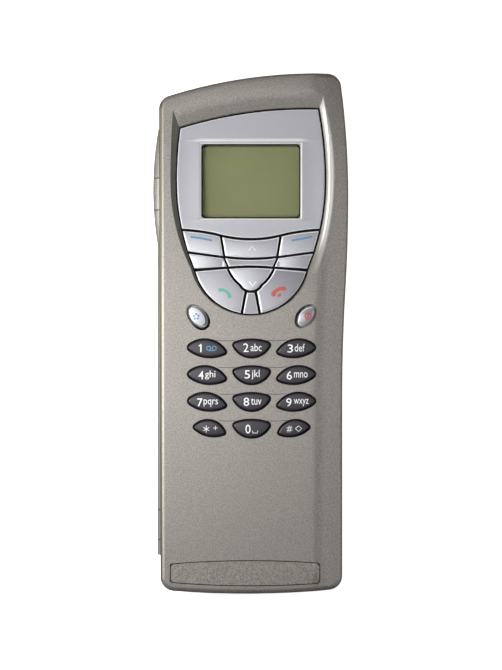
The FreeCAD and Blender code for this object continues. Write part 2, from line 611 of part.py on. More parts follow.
def leaf(column, last_row):
    """Tips and radii of a number key's outline. The side columns mirror each other."""
    if column == 0:
        return ([("-mid_tip_u", "mid_tip_v", "mid_tip_radius"), ("mid_tip_u", "mid_tip_v", "mid_tip_radius")],
                ("mid_top_radius", "mid_low_radius"))
    kind, tip = ("corner", "corner_tip_radius") if last_row else ("side", None)
    if last_row:
        tips = [("corner_wide_u", "corner_wide_v", tip), ("corner_point_u", "(-corner_point_v)", tip)]
    else:
        tips = [("wide_tip_u", "wide_tip_v", "wide_tip_radius"),
                ("point_tip_u", "(-point_tip_v)", "point_tip_radius")]
    outer, inner = tips
    outer, inner = (f"{column} * {outer[0]}", *outer[1:]), (f"{-column} * {inner[0]}", *inner[1:])
    return ([outer, inner] if column < 0 else [inner, outer]), (f"{kind}_top_radius", f"{kind}_low_radius")


def oval(sign):
    """Tips of an oval key: the left one leans to the lower right, the right one to the lower left."""
    along, up = "oval_tip_u * cos(oval_tilt)", f"{-sign} * oval_tip_u * sin(oval_tilt)"
    tips = [(f"-({along})", up, "oval_tip_radius"), (along, f"-({up})", "oval_tip_radius")]
    return tips, ("oval_radius", "oval_radius")


def outer_keys():
    """Label, centre, tips, radii and hole gap of each key of the cover that isn't on the insert."""
    for row, labels in enumerate(KEYPAD):
        for column, label in zip((-1, 0, 1), labels):
            last = row == len(KEYPAD) - 1
            x = COLUMNS[column] + (f" - {column} * corner_key_shift" if last else "")
            yield label, x, f"number_row_y - {row} * row_pitch", *leaf(column, last), "key_gap"
    for label, sign in (("profile_key", -1), ("power_key", 1)):
        yield label, f"keypad_x + {sign} * oval_x", "oval_y", *oval(sign), "oval_gap"


def key_holes(piece):
    drawing = sketch(piece, "key_holes", "phone_height")
    for _, x, y, tips, radii, gap in outer_keys():
        lens(drawing, [(f"{x} + ({u})", f"{y} + ({v})", radius) for u, v, radius in tips], radii, gap)
    pocket(piece, drawing, "phone_height - lid_ceiling + flange_top_gap")


def plate_outline(grow):
    left, right = f"(-plate_left - {grow})", f"(plate_right + {grow})"

    def low(x):
        return f"(plate_low_y - {grow} + plate_radius - sqrt(plate_radius^2 - {x}^2))"

    def top(x):
        return f"(plate_top_y + {grow} - plate_radius + sqrt(plate_radius^2 - {x}^2))"

    return [(left, low(left), "plate_radius", 1), (right, low(right)),
            (right, top(right), "plate_radius", 1), (left, top(left))]


def lid_outer_cover():
    piece = body("lid_outer_cover")
    cover_form(piece)
    cover_hollow(piece)
    hinge_side(piece)
    front_well(piece)
    key_holes(piece)
    seat = sketch(piece, "plate_seat", "phone_height")
    loop(seat, plate_outline("plate_gap"))
    pocket(piece, seat, "plate_thickness")


def cover_plate():
    """Bare plate near the foot of the cover. Its edge follows the soft slope of the lid."""
    piece = body("cover_plate")
    edge = "right_x - slope_width - slope_radius * tan(atan(slope_drop / slope_width) / 2)"
    fall = f"(phone_height - slope_radius + sqrt(slope_radius^2 - (plate_right - ({edge}))^2))"
    low = "(phone_height - plate_thickness)"
    side = sketch(piece, "plate_side", "-0.5 * (plate_top_y + plate_low_y)", plane="XZ_Plane")
    loop(side, [("-plate_left", low), ("plate_right", low), ("plate_right", fall, "slope_radius", 1),
                (edge, "phone_height"), ("-plate_left", "phone_height")])
    pad(piece, side, "2 * (plate_top_y - plate_low_y)", middle=True)
    trim = sketch(piece, "plate_trim", "phone_height")
    loop(trim, box_loop("-right_x", "right_x", "2 * plate_low_y", "0"))
    loop(trim, plate_outline("0"))
    pocket(piece, trim, "2 * plate_thickness")
    dress(piece, "Fillet", "plate_corner", upright)


def insert_piece(label):
    return body(label, "front_x", "shield_tip_y", "(phone_height - shield_drop)", tilt="shield_tilt")


BROW_RADIUS = "((brow_knot_u^2 + (brow_knot_v - brow_mid_v)^2) / (2 * (brow_knot_v - brow_mid_v)))"


def brow(u):
    """Height of the middle dip of the line between the bezel and the keys, at u."""
    return f"(brow_mid_v + {BROW_RADIUS} - sqrt({BROW_RADIUS}^2 - ({u})^2))"


def display_bezel():
    piece = insert_piece("display_bezel")
    face = sketch(piece, "bezel_face", "-insert_thickness")
    foot, knot = "(brow_end_v + seam)", "brow_knot_v + seam"
    flank = flank_radius("insert_gap")
    loop(face, [(f"-{flank_u(foot)}", foot, "brow_radius", -1), ("-brow_knot_u", knot, BROW_RADIUS, 1),
                ("brow_knot_u", knot, "brow_radius", -1), (flank_u(foot), foot, flank, 1),
                *shield("insert_gap")[2:]])
    opening = box_loop("-window_width / 2", "window_width / 2", "window_v - window_height / 2",
                       "window_v + window_height / 2")
    loop(face, opening)
    pad(piece, face, "insert_thickness")
    top = level_at("0")
    dress(piece, "Chamfer", "window_bevel", lambda e: top(e) and "Line" in e.Curve.TypeId)
    dress(piece, "Chamfer", "key_bevel", lambda e: top(e) and "Line" not in e.Curve.TypeId)


def phone_display_window():
    piece = insert_piece("phone_display_window")
    drawing = sketch(piece, "pane_outline", "-insert_thickness - pane_thickness")
    loop(drawing, pane())
    pad(piece, drawing, "pane_thickness")


def phone_display():
    piece = insert_piece("phone_display")
    low = "-insert_thickness - pane_thickness - pane_gap - phone_display_thickness"
    drawing = sketch(piece, "small_panel", low)
    loop(drawing, pane())
    pad(piece, drawing, "phone_display_thickness")


def key_frame():
    """Thin dark plate under the bezel and the keys, with a hole for each stem."""
    piece = insert_piece("key_frame")
    drawing = sketch(piece, "frame_outline", "-insert_thickness - frame_thickness")
    loop(drawing, shield("insert_gap"))
    loop(drawing, pane("pane_gap * 2"))
    for u, v in MENU_STEMS:
        loop(drawing, square(u, v, "stem_half + stem_clearance"))
    pad(piece, drawing, "frame_thickness")


def sagitta(half, rise):
    return f"((({half})^2 + ({rise})^2) / (2 * ({rise})))"


ROW_ONE_DIP, ROW_TWO_RISE = "row_one_seam_v - row_one_mid_v", "row_two_mid_v - row_two_seam_v"


def key_spacers():
    """Three strips between the two rows of menu keys, and the tail between the lowest two."""
    piece = insert_piece("key_spacers")
    drawing = sketch(piece, "spacer_outline", "-insert_thickness")
    top, low = "row_one_seam_v - seam", "row_two_seam_v + seam"
    side_top = "(row_one_side_v - seam)"
    side = [("seam_low_u + seam", low),
            (hip_u("insert_gap"), hip_at("insert_gap"), flank_radius("insert_gap"), 1),
            (flank_u(side_top), side_top), ("seam_mid_u + seam", top)]
    half_low, half_top = "(seam_low_u - seam)", "(seam_mid_u - seam)"
    loop(drawing, side)
    loop(drawing, mirrored(side))
    loop(drawing, [(f"-{half_low}", low, sagitta(half_low, ROW_TWO_RISE), -1), (half_low, low),
                   (half_top, top, sagitta(half_top, ROW_ONE_DIP), -1), (f"-{half_top}", top)])
    foot, neck, height = "(tail_low_half - seam)", "tail_top_half - seam", "cup_tip_v - seam"
    loop(drawing, [(f"-{foot}", low_v(foot), low_radius("insert_gap"), 1), (foot, low_v(foot)),
                   (neck, height), (f"-({neck})", height)])
    pad(piece, drawing, "insert_thickness")


def menu_key(label, corners, stem_u, stem_v):
    piece = insert_piece(label)
    cap = sketch(piece, "menu_cap", "-menu_key_thickness")
    loop(cap, corners)
    pad(piece, cap, "menu_key_thickness")
    dress(piece, "Chamfer", "key_bevel", level_at("0"))
    stem = sketch(piece, "menu_stem", "-menu_key_thickness")
    loop(stem, square(stem_u, stem_v, "stem_half"))
    depth = (f"(phone_height - shield_drop - {stem_v} * sin(shield_tilt) - {STEM_Z}) / cos(shield_tilt)"
             " - menu_key_thickness")
    pad(piece, stem, depth, down=True)


def menu_keys():
    """Keys of the insert: two soft keys, the scroll pair and the call and end keys."""
    top, low = "(brow_end_v - seam)", "(row_one_side_v + seam)"
    corner, seam_foot = "(seam_top_u + seam)", "seam_mid_u + seam"
    flank = flank_radius("insert_gap")
    soft = [(flank_u(top), top, "brow_radius", 1), ("brow_knot_u", "brow_knot_v - seam", BROW_RADIUS, -1),
            (corner, f"{brow(corner)} - seam"), (seam_foot, "row_one_seam_v + seam"),
            (flank_u(low), low, flank, 1)]
    menu_key("soft_key_right", soft, "soft_stem_u", "soft_stem_v")
    menu_key("soft_key_left", mirrored(soft), "-soft_stem_u", "soft_stem_v")

    head, foot = "(seam_top_u - seam)", "(seam_mid_u - seam)"
    menu_key("scroll_up_key",
             [(f"-{foot}", "row_one_seam_v + seam", sagitta(foot, ROW_ONE_DIP), 1),
              (foot, "row_one_seam_v + seam"), (head, f"{brow(head)} - seam", BROW_RADIUS, -1),
              (f"-{head}", f"{brow(head)} - seam")], "0", "up_stem_v")

    tip = sagitta("cup_knot_u", "cup_knot_v - cup_tip_v")
    centre = f"(cup_tip_v + {tip})"

    def knot(radius):
        share = f"(({radius}) / {tip})"
        return f"(cup_knot_u * {share})", f"({centre} - ({centre} - cup_knot_v) * {share})"

    inner_u, inner_v = knot(f"{tip} - seam")
    outer_u, outer_v = knot(f"{tip} + seam")
    half, row = "(seam_low_u - seam)", "row_two_seam_v - seam"
    menu_key("scroll_down_key",
             [(f"-{inner_u}", inner_v, f"{tip} - seam", 1), (inner_u, inner_v, "cup_radius - seam", 1),
              (half, row, sagitta(half, ROW_TWO_RISE), 1), (f"-{half}", row, "cup_radius - seam", 1)],
             "0", "down_stem_v")
    neck, tail, side = "(tail_top_half + seam)", "(tail_low_half + seam)", "(row_two_side_v - seam)"
    end = [(tail, low_v(tail), low_radius("insert_gap"), 1), (low_u(side), side),
           ("seam_low_u + seam", row, "cup_radius + seam", -1), (outer_u, outer_v, f"{tip} + seam", -1),
           (neck, f"{centre} - sqrt(({tip} + seam)^2 - {neck}^2)")]
    menu_key("end_key", end, "call_stem_u", "call_stem_v")
    menu_key("call_key", mirrored(end), "-call_stem_u", "call_stem_v")


def turned(u, v, sign):
    """A point of an oval key's flange, turned with the key."""
    return (f"({u}) * cos(oval_tilt) - {sign} * ({v}) * sin(oval_tilt)",
            f"{sign} * ({u}) * sin(oval_tilt) + ({v}) * cos(oval_tilt)")


def cover_key(label, x, y, tips, radii):
    """A key of the cover, with a flange that holds it under the cover and a stem."""
    piece = body(label, x, y)
    cap = sketch(piece, "cap_outline", FLANGE_TOP)
    lens(cap, tips, radii)
    pad(piece, cap, f"{CAP_TOP} - {FLANGE_TOP}")
    flange = sketch(piece, "flange_outline", FLANGE_TOP)
    if label in ("profile_key", "power_key"):
        sign = 1 if label == "power_key" else -1
        loop(flange, [turned(f"{u} * oval_flange_u", f"{v} * oval_flange_v", sign)
                      for u, v in ((-1, -1), (1, -1), (1, 1), (-1, 1))])
    else:
        loop(flange, box_loop("-flange_half_u", "flange_half_u", "-flange_half_v", "flange_half_v"))
    pad(piece, flange, "flange_thickness", down=True)
    stem = sketch(piece, "stem_outline", FLANGE_TOP)
    loop(stem, square("0", "0", "stem_half"))
    pad(piece, stem, f"{FLANGE_TOP} - {STEM_Z}", down=True)


def slab(label, corners, low, thickness):
    """A flat piece of one thickness."""
    piece = body(label)
    drawing = sketch(piece, f"{label}_outline", low)
    loop(drawing, corners)
    pad(piece, drawing, thickness)
    return piece


def phone_board():
    slab("phone_keypad_board", box_loop("phone_board_left", "phone_board_right", "phone_board_low_y",
                                        "phone_board_high_y"), "lid_middle_z", "board_thickness")
    slab("phone_keypad_mat", box_loop("phone_board_left", "phone_board_right", "phone_mat_low_y",
                                      "phone_mat_high_y"), MAT_Z, "mat_thickness")


def inner_pane(grow="0"):
    half_x, half_y = f"(inner_window_width / 2 + {grow})", f"(inner_window_length / 2 + {grow})"
    return box_loop(f"inner_window_x - {half_x}", f"inner_window_x + {half_x}",
                    f"inner_window_y - {half_y}", f"inner_window_y + {half_y}")


def command_outline(index, grow="0"):
    x, half_u, half_v = f"(command_key_x + {index} * command_pitch)", "command_half_u", "command_half_v"
    return box_loop(f"{x} - {half_u} - {grow}", f"{x} + {half_u} + {grow}",
                    f"command_key_y - {half_v} - {grow}", f"command_key_y + {half_v} + {grow}", "command_clip")


def lid_inside():
    """Cover, wide display and its pane on the inner face of the lid, and four command keys beside them."""
    gap = "inner_cover_gap"
    piece = body("lid_inner_cover")
    drawing = sketch(piece, "inner_cover_outline", "lid_floor")
    loop(drawing, tray(f"(lid_hollow_left + {gap})", f"(right_x - lid_wall - {gap})", f"(lid_wall + {gap})"))
    loop(drawing, inner_pane("(-inner_view_lap)"))
    for index in range(4):
        loop(drawing, command_outline(index, "command_key_gap"))
    pad(piece, drawing, "inner_cover_thickness")
    rebate = sketch(piece, "inner_rebate", "lid_floor")
    loop(rebate, inner_pane())
    pocket(piece, rebate, "inner_pane_thickness", up=True)
    slab("inner_display_window", inner_pane(), "lid_floor", "inner_pane_thickness")
    slab("inner_display", inner_pane("inner_display_lap"),
         "lid_floor + inner_cover_thickness + inner_cover_gap",
         "inner_display_thickness")
    flange_low = "(lid_floor + inner_cover_thickness + key_stop_gap)"
    for index in range(4):
        key = slab(f"command_key_{index + 1}", command_outline(index), "lid_floor - command_rise",
                   f"{flange_low} - lid_floor + command_rise")
        flange = sketch(key, "command_flange_outline", flange_low)
        loop(flange, command_outline(index, "command_lap"))
        pad(key, flange, "command_flange")
        stem = sketch(key, "command_stem_outline", flange_low)
        loop(stem, square(f"command_key_x + {index} * command_pitch", "command_key_y", "command_stem"))
        pad(key, stem, f"lid_middle_z - command_travel - key_stop_gap - {flange_low}")


def hinge_pins():
    piece = body("hinge_pins")
    for name, (low, high) in HOLD.items():
        turn(piece, f"{name}_pin", tube(f"({low} - pin_reach)", f"({high} + pin_reach)", "pin_radius"))


LEFT_SCREWS = [("-screw_x", "screw_low_y"), ("-screw_x", "screw_top_left_y")]
RIGHT_SCREWS = [("screw_x", "screw_low_y"), ("screw_top_right_x", "screw_top_right_y")]
SCREWS = LEFT_SCREWS + RIGHT_SCREWS
DECK_Z = "(base_top - deck_depth)"
DECK_LOW = "(base_top - deck_depth - deck_thickness)"
KEY_TOP = f"({DECK_Z} + keycap_height)"
MAT_LOW = f"({DECK_LOW} - keyboard_mat_gap - mat_thickness)"
BASE_RIGHT = "(right_x - base_inset - base_wall)"
BASE_ENDS = "(base_inset + base_wall)"
PROGRAM_KEYS = 8
LETTERS = [(0, 0, 14), (1, 0, 14), (2, 0, 12), (3, 0, 12), (3, 13, 1), (4, 0, 4), (4, 9, 2)]
MOVING = {"enter_key": (2, 12, 2), "arrow_up_key": (3, 12, 1), "space_bar": (4, 4, 5),
          "arrow_left_key": (4, 11, 1), "arrow_down_key": (4, 12, 1), "arrow_right_key": (4, 13, 1)}


def keycap(row, column, width=1, grow="0"):
    """Outline of a key of the keyboard that is width columns wide."""
    x = f"(first_row_x + {row} * row_step)"
    middle = f"(({column} + {width} / 2 - key_columns / 2) * column_step)"
    half_x, half_y = f"(keycap_depth / 2 + {grow})", f"(({width} * column_step - keycap_gap) / 2 + {grow})"
    return box_loop(f"{x} - {half_x}", f"{x} + {half_x}", f"{middle} - {half_y}", f"{middle} + {half_y}")


def row_of(piece, corners, count, step):
    """Keys of one shape, side by side along Y on the deck."""
    drawing = sketch(piece, f"{piece.Name}_cap", DECK_Z)
    loop(drawing, corners)
    cap = pad(piece, drawing, "keycap_height")
    if count > 1:
        document.recompute()
        row = piece.newObject("PartDesign::LinearPattern", f"{piece.Name}_row")
        row.Originals = [cap]
        row.Direction = (next(o for o in piece.Origin.OriginFeatures if o.Role == "Y_Axis"), [""])
        bind(row, "Length", f"{count - 1} * {step}")
        row.Occurrences = count
        piece.Tip = row


def keyboard():
    """Keys that stand on the deck, keys that move through it, and the mat below."""
    letters = body("letter_keys")
    for row, column, count in LETTERS:
        row_of(letters, keycap(row, column), count, "column_step")
    middle, half = f"((1 - {PROGRAM_KEYS}) / 2 * program_key_step)", "program_key_length / 2"
    row_of(body("application_keys"),
           box_loop("program_key_x - program_key_depth / 2", "program_key_x + program_key_depth / 2",
                    f"{middle} - {half}", f"{middle} + {half}"), PROGRAM_KEYS, "program_key_step")
    low = f"({DECK_LOW} - keyboard_mat_gap + inner_travel + key_stop_gap)"
    for label, place in MOVING.items():
        slab(label, keycap(*place), low, f"{KEY_TOP} - {low}")
    mat = body("keyboard_mat")
    drawing = sketch(mat, "keyboard_mat_outline", MAT_LOW)
    loop(drawing, box_loop("base_hollow_left + board_edge", f"{BASE_RIGHT} - board_edge",
                           "screw_low_y + boss_half + board_edge", "deck_half_y - deck_clip", "mat_clip"))
    loop(drawing, square(*RIGHT_SCREWS[1], "boss_half + board_edge / 2"))
    pad(mat, drawing, "mat_thickness")


def port(x, half):
    """Cut through the low end wall for a socket."""
    half = f"({half} + port_gap)"
    return box_loop(f"{x} - {half}", f"{x} + {half}", "-end_low_y - base_inset", "screw_low_y + boss_half")


def infrared_outline(grow="0", face="base_inset + port_gap"):
    """Dark window whose outer face follows the bowed top end."""
    near, far = f"(infrared_x - infrared_half - {grow})", f"(infrared_x + infrared_half + {grow})"
    inside = f"{top_end(near, 'base_inset')} - infrared_thickness - {grow}"
    return [(near, inside), (far, inside), (far, top_end(far, face), "end_top_radius", 1),
            (near, top_end(near, face))]


def keyboard_cover():
    piece = body("keyboard_cover")
    drawing = sketch(piece, "base_outline", "base_split")
    loop(drawing, outline("base_inset"))
    pad(piece, drawing, "base_top - base_split")
    dress(piece, "Fillet", "corner_radius", end_corner)
    rear_notch(piece, "base_ray", up=False)
    gap = "hinge_gap"
    grown = {name: (f"({low} - {gap})", f"({high} + {gap})") for name, (low, high) in HOLD.items()}
    turn(piece, "low_room", tube(*grown["low"], f"barrel_radius + {gap}"), cut=True)
    turn(piece, "high_room", thick_tube(*grown["high"], gap), cut=True)
    turn(piece, "low_barrel", tube("barrel_low_y", grown["low"][0], "barrel_radius"))
    turn(piece, "long_barrel", long_tube(grown["low"][1], grown["high"][0]))
    turn(piece, "high_barrel", thick_tube(grown["high"][1], "barrel_high_y"))
    for name, (low, high) in HOLD.items():
        turn(piece, f"{name}_seat",
             tube(f"({low} - pin_reach)", f"({high} + pin_reach)", "pin_radius"), cut=True)
    deck = sketch(piece, "deck_recess", "base_top")
    loop(deck, box_loop("deck_left", "deck_right", "-deck_half_y", "deck_half_y", "deck_clip"))
    pocket(piece, deck, "deck_depth")
    hollow = sketch(piece, "base_hollow", "base_split")
    loop(hollow, tray("base_hollow_left", BASE_RIGHT, BASE_ENDS))
    for x, y in RIGHT_SCREWS:
        loop(hollow, square(x, y, "boss_half"))
    pocket(piece, hollow, f"{DECK_LOW} - base_split", up=True)
    holes = sketch(piece, "deck_holes", DECK_Z)
    for place in MOVING.values():
        loop(holes, keycap(*place, grow="deck_hole_gap"))
    pocket(piece, holes, "deck_thickness")
    ports = [("jack_port", "(jack_half + port_gap)", port("jack_x", "jack_half")),
             ("connector_port", "(connector_half_z + port_gap)", port("connector_x", "connector_half")),
             ("infrared_port", "(infrared_half_z + port_gap)", infrared_outline("port_gap", "(-port_gap)"))]
    for name, half_z, edge in ports:
        cut = sketch(piece, name, f"jack_z - {half_z}")
        loop(cut, edge)
        pocket(piece, cut, f"2 * {half_z}", up=True)
    bores = sketch(piece, "screw_bores", "base_split")
    for x, y in SCREWS:
        ring(bores, x, y, "screw_shank_radius")
    pocket(piece, bores, "screw_recess + screw_head_height + screw_length - base_split", up=True)


BATTERY = ("battery_left", "battery_right", "battery_low_y", "battery_high_y")


def battery_outline(grow="0"):
    left, right, low, high = BATTERY
    return box_loop(f"({left} - {grow})", f"({right} + {grow})", f"({low} - {grow})", f"({high} + {grow})",
                    "battery_clip")


def slots(drawing, x, y, count, length):
    """Row of narrow sound slots."""
    for index in range(count):
        middle = f"{y} + ({index} - {(count - 1) / 2}) * slot_step"
        loop(drawing, box_loop(f"{x} - {length} / 2", f"{x} + {length} / 2", f"{middle} - slot_width / 2",
                               f"{middle} + slot_width / 2"))


def bottom_cover():
    """Back of the phone: shell with a battery bay, a latch slot, screw posts and sound slots."""
    piece = body("bottom_cover")
    drawing = sketch(piece, "back_outline")
    loop(drawing, outline("base_inset"))
    pad(piece, drawing, "base_split - split_gap")
    dress(piece, "Fillet", "corner_radius", end_corner)
    dress(piece, "Fillet", "base_edge_radius", level_at("0"))
    rear_notch(piece, "base_ray", up=False)
    hollow = sketch(piece, "back_hollow", "base_wall")
    loop(hollow, tray(f"({BASE_ENDS} - left_low_x)", BASE_RIGHT, BASE_ENDS))
    loop(hollow, battery_outline("(battery_gap + bay_wall)"))
    for x, y in SCREWS:
        loop(hollow, square(x, y, "boss_half"))
    pocket(piece, hollow, "base_split", up=True)
    bay = sketch(piece, "battery_bay")
    loop(bay, battery_outline("battery_gap"))
    pocket(piece, bay, "battery_top + battery_gap", up=True)
    openings = sketch(piece, "back_openings")
    loop(openings, box_loop("-latch_half_u - latch_recess", "latch_half_u + latch_recess",
                            "latch_y - latch_half_v - latch_recess",
                            "latch_y + latch_half_v + latch_travel + latch_recess"))
    slots(openings, "ear_x", "ear_y", 3, "slot_length")
    slots(openings, "speaker_x", "speaker_y", 5, "speaker_slot_length")
    slots(openings, "microphone_x", "microphone_y", 1, "microphone_slot")
    pocket(piece, openings, "base_wall", up=True)
    heads = sketch(piece, "screw_seats")
    shanks = sketch(piece, "screw_holes")
    for x, y in SCREWS:
        ring(heads, x, y, "screw_head_radius")
        ring(shanks, x, y, "screw_shank_radius")
    pocket(piece, heads, "screw_recess + screw_head_height", up=True)
    pocket(piece, shanks, "base_split", up=True)


def case_screws():
    piece = body("case_screws")
    heads = sketch(piece, "screw_heads", "screw_recess")
    shanks = sketch(piece, "screw_shanks", "screw_recess")
    for x, y in SCREWS:
        ring(heads, x, y, "screw_head_radius")
        ring(shanks, x, y, "screw_shank_radius")
    pad(piece, heads, "screw_head_height")
    pad(piece, shanks, "screw_head_height + screw_length")


def disc(label, x, y, radius, low, thickness):
    piece = body(label)
    drawing = sketch(piece, f"{label}_outline", low)
    ring(drawing, x, y, radius)
    pad(piece, drawing, thickness)


def socket(label, x, half_x, half_z, depth):
    """Body of a socket, its mouth near the low end of the base."""
    piece = body(label)
    drawing = sketch(piece, f"{label}_outline", f"jack_z - {half_z}")
    loop(drawing, box_loop(f"{x} - {half_x}", f"{x} + {half_x}", "-jack_y", f"{depth} - jack_y"))
    pad(piece, drawing, f"2 * {half_z}")
    return piece


def base_inside():
    """Battery, its latch, the main board and what it carries."""
    slab("battery", battery_outline(), "battery_recess", "battery_top - battery_recess")
    flange_low = "(base_wall + latch_recess)"
    latch = slab("battery_latch", box_loop("-latch_half_u", "latch_half_u", "latch_y - latch_half_v",
                                           "latch_y + latch_half_v"), "latch_recess",
                 f"{flange_low} - latch_recess")
    flange = sketch(latch, "latch_flange_outline", flange_low)
    loop(flange, box_loop("-latch_half_u - latch_flange", "latch_half_u + latch_flange",
                          "latch_y - latch_half_v", "latch_y + latch_half_v"))
    pad(latch, flange, "latch_thickness")
    board = "(base_split + main_board_lift)"
    slab("main_board", box_loop("base_hollow_left + board_edge", f"{BASE_RIGHT} - board_edge",
                                "screw_low_y + boss_half + board_edge",
                                "screw_top_right_y - boss_half - board_edge"),
         board, "board_thickness")
    slab("card_reader", box_loop("reader_x - reader_half_x", "reader_x + reader_half_x",
                                 "reader_y - reader_half_y", "reader_y + reader_half_y"),
         f"{board} + board_thickness", "reader_thickness")
    disc("loudspeaker", "speaker_x", "speaker_y", "speaker_radius", "base_wall", "speaker_thickness")
    disc("earpiece", "ear_x", "ear_y", "ear_radius", "base_wall", "ear_thickness")
    disc("microphone", "microphone_x", "microphone_y", "microphone_radius", "base_wall",
         "microphone_thickness")
    slab("antenna", box_loop("antenna_x - antenna_half", "antenna_x + antenna_half",
                             "deck_half_y - antenna_edge - antenna_depth", "deck_half_y - antenna_edge"),
         f"{MAT_LOW} - keyboard_mat_gap - antenna_height", "antenna_height")
    slab("infrared_window", infrared_outline(), "jack_z - infrared_half_z", "2 * infrared_half_z")


def sockets():
    jack = socket("charger_jack", "jack_x", "jack_half", "jack_half", "jack_depth")
    bore = sketch(jack, "jack_bore", "jack_y", plane="XZ_Plane")
    ring(bore, "jack_x", "jack_z", "jack_bore_radius")
    pocket(jack, bore, "jack_bore_depth")
    connector = socket("system_connector", "connector_x", "connector_half", "connector_half_z",
                       "connector_depth")
    mouth = sketch(connector, "connector_mouth_outline", "jack_y", plane="XZ_Plane")
    inside_u, inside_v = "(connector_half - connector_lip)", "(connector_half_z - connector_lip)"
    loop(mouth, box_loop(f"connector_x - {inside_u}", f"connector_x + {inside_u}", f"jack_z - {inside_v}",
                         f"jack_z + {inside_v}"))
    pocket(connector, mouth, "connector_mouth")


lid_outer_cover()
cover_plate()
display_bezel()
phone_display_window()
phone_display()
key_frame()
key_spacers()
menu_keys()
for key_label, key_x, key_y, key_tips, key_radii, _ in outer_keys():
    cover_key(key_label, key_x, key_y, key_tips, key_radii)
phone_board()
lid_inside()
hinge_pins()
keyboard_cover()
bottom_cover()
case_screws()
keyboard()
base_inside()
sockets()
document.recompute()

for thing in document.Objects:
    if any(word in state for state in thing.State for word in ("Invalid", "Error")):
        raise RuntimeError(f"{thing.Name} could not be made")
pieces = [thing for thing in document.Objects if thing.TypeId == "PartDesign::Body"]
for piece in pieces:
    if piece.Shape.isNull() or not piece.Shape.isValid():
        raise RuntimeError(f"{piece.Label} has no valid solid")
os.makedirs("parts", exist_ok=True)
for piece in pieces:
    piece.Shape.exportStep(f"parts/{piece.Label}.step")
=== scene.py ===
"""Looks for a closed clamshell communicator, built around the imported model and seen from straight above."""

import math

import bmesh
import bpy
import numpy as np
from mathutils import Matrix, Vector
from mathutils.bvhtree import BVHTree
from mathutils.geometry import delaunay_2d_cdt
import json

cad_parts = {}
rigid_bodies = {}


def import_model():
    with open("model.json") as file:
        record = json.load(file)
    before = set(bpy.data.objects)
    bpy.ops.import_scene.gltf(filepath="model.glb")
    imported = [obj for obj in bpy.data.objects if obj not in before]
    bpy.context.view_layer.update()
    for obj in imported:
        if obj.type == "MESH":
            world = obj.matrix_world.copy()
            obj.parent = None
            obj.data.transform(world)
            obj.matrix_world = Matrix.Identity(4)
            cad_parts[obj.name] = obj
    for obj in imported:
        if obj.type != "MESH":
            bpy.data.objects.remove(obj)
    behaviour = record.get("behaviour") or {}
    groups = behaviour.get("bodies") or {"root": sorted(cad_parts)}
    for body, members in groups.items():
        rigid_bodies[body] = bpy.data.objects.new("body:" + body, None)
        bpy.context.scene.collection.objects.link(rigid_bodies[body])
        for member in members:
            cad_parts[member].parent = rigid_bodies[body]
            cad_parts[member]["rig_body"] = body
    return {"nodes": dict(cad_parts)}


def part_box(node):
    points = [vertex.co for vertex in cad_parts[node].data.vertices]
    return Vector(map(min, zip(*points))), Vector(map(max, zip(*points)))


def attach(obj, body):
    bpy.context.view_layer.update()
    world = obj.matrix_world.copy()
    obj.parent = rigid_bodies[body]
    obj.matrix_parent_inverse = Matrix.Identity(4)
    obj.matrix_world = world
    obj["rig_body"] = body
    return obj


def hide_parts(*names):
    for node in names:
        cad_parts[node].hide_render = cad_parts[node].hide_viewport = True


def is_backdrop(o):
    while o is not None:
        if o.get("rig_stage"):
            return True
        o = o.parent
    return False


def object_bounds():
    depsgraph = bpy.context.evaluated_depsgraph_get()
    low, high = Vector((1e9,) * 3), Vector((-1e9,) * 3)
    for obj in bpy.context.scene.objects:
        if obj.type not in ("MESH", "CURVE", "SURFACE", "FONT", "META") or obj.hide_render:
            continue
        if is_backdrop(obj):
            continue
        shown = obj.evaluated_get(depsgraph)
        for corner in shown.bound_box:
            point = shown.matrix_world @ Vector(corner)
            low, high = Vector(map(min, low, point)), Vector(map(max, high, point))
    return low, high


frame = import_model()
CAD_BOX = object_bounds()
NODES = frame["nodes"]
MM = 0.001
UPRIGHT = Matrix.Identity(4)

# The photograph's scale and the place of the frame's origin in it
PX = 0.30326
ORIGIN_X = 250.5
ORIGIN_Y = 333.5
IMAGE_W = 502
IMAGE_H = 670

# The front insert's own frame: its lowest point, leaned back by a small angle
TIP = Vector((0.1, 5.6, 26.85))
TILT = math.radians(1.6)
TILTED = Matrix.Translation(TIP * MM) @ Matrix.Rotation(-TILT, 4, "X")


def at(x, y):
    """A point of the photograph as X and Y in millimetres."""
    return (x - ORIGIN_X) * PX, (ORIGIN_Y - y) * PX


def spots(*pairs):
    return [at(x, y) for x, y in pairs]


NUMBER_KEYS = [f"key_{n}" for n in (*range(1, 10), "star", 0, "hash")]
OVAL_KEYS = ["profile_key", "power_key"]
MENU_KEYS = ["soft_key_left", "soft_key_right", "scroll_up_key", "scroll_down_key", "call_key", "end_key"]
COMMAND_KEYS = [f"command_key_{n}" for n in range(1, 5)]
ARROWS = {"arrow_up_key": (-1, 0), "arrow_down_key": (1, 0), "arrow_left_key": (0, -1), "arrow_right_key": (0, 1)}


# Materials


def srgb(r, g, b):
    def linear(c):
        c /= 255
        return c / 12.92 if c <= 0.04045 else ((c + 0.055) / 1.055) ** 2.4

    return linear(r), linear(g), linear(b), 1


def settled(thing, **values):
    """A new data-block with its settings given by name."""
    for key, value in values.items():
        setattr(thing, key, value)
    return thing


def node(tree, kind, inputs=None, **values):
    """The outputs of a new node, whose inputs are values or the sockets of other nodes."""
    made = settled(tree.nodes.new(kind), **values)
    for place, value in (inputs or {}).items():
        if isinstance(value, (int, float, tuple)):
            made.inputs[place].default_value = value
        else:
            tree.links.new(value, made.inputs[place])
    return made.outputs


def noise(tree, coords, scale, detail, stretch=None):
    if stretch:
        coords = node(tree, "ShaderNodeMapping", {"Vector": coords, "Scale": stretch})[0]
    return node(tree, "ShaderNodeTexNoise", {"Vector": coords, "Scale": scale, "Detail": detail})["Fac"]


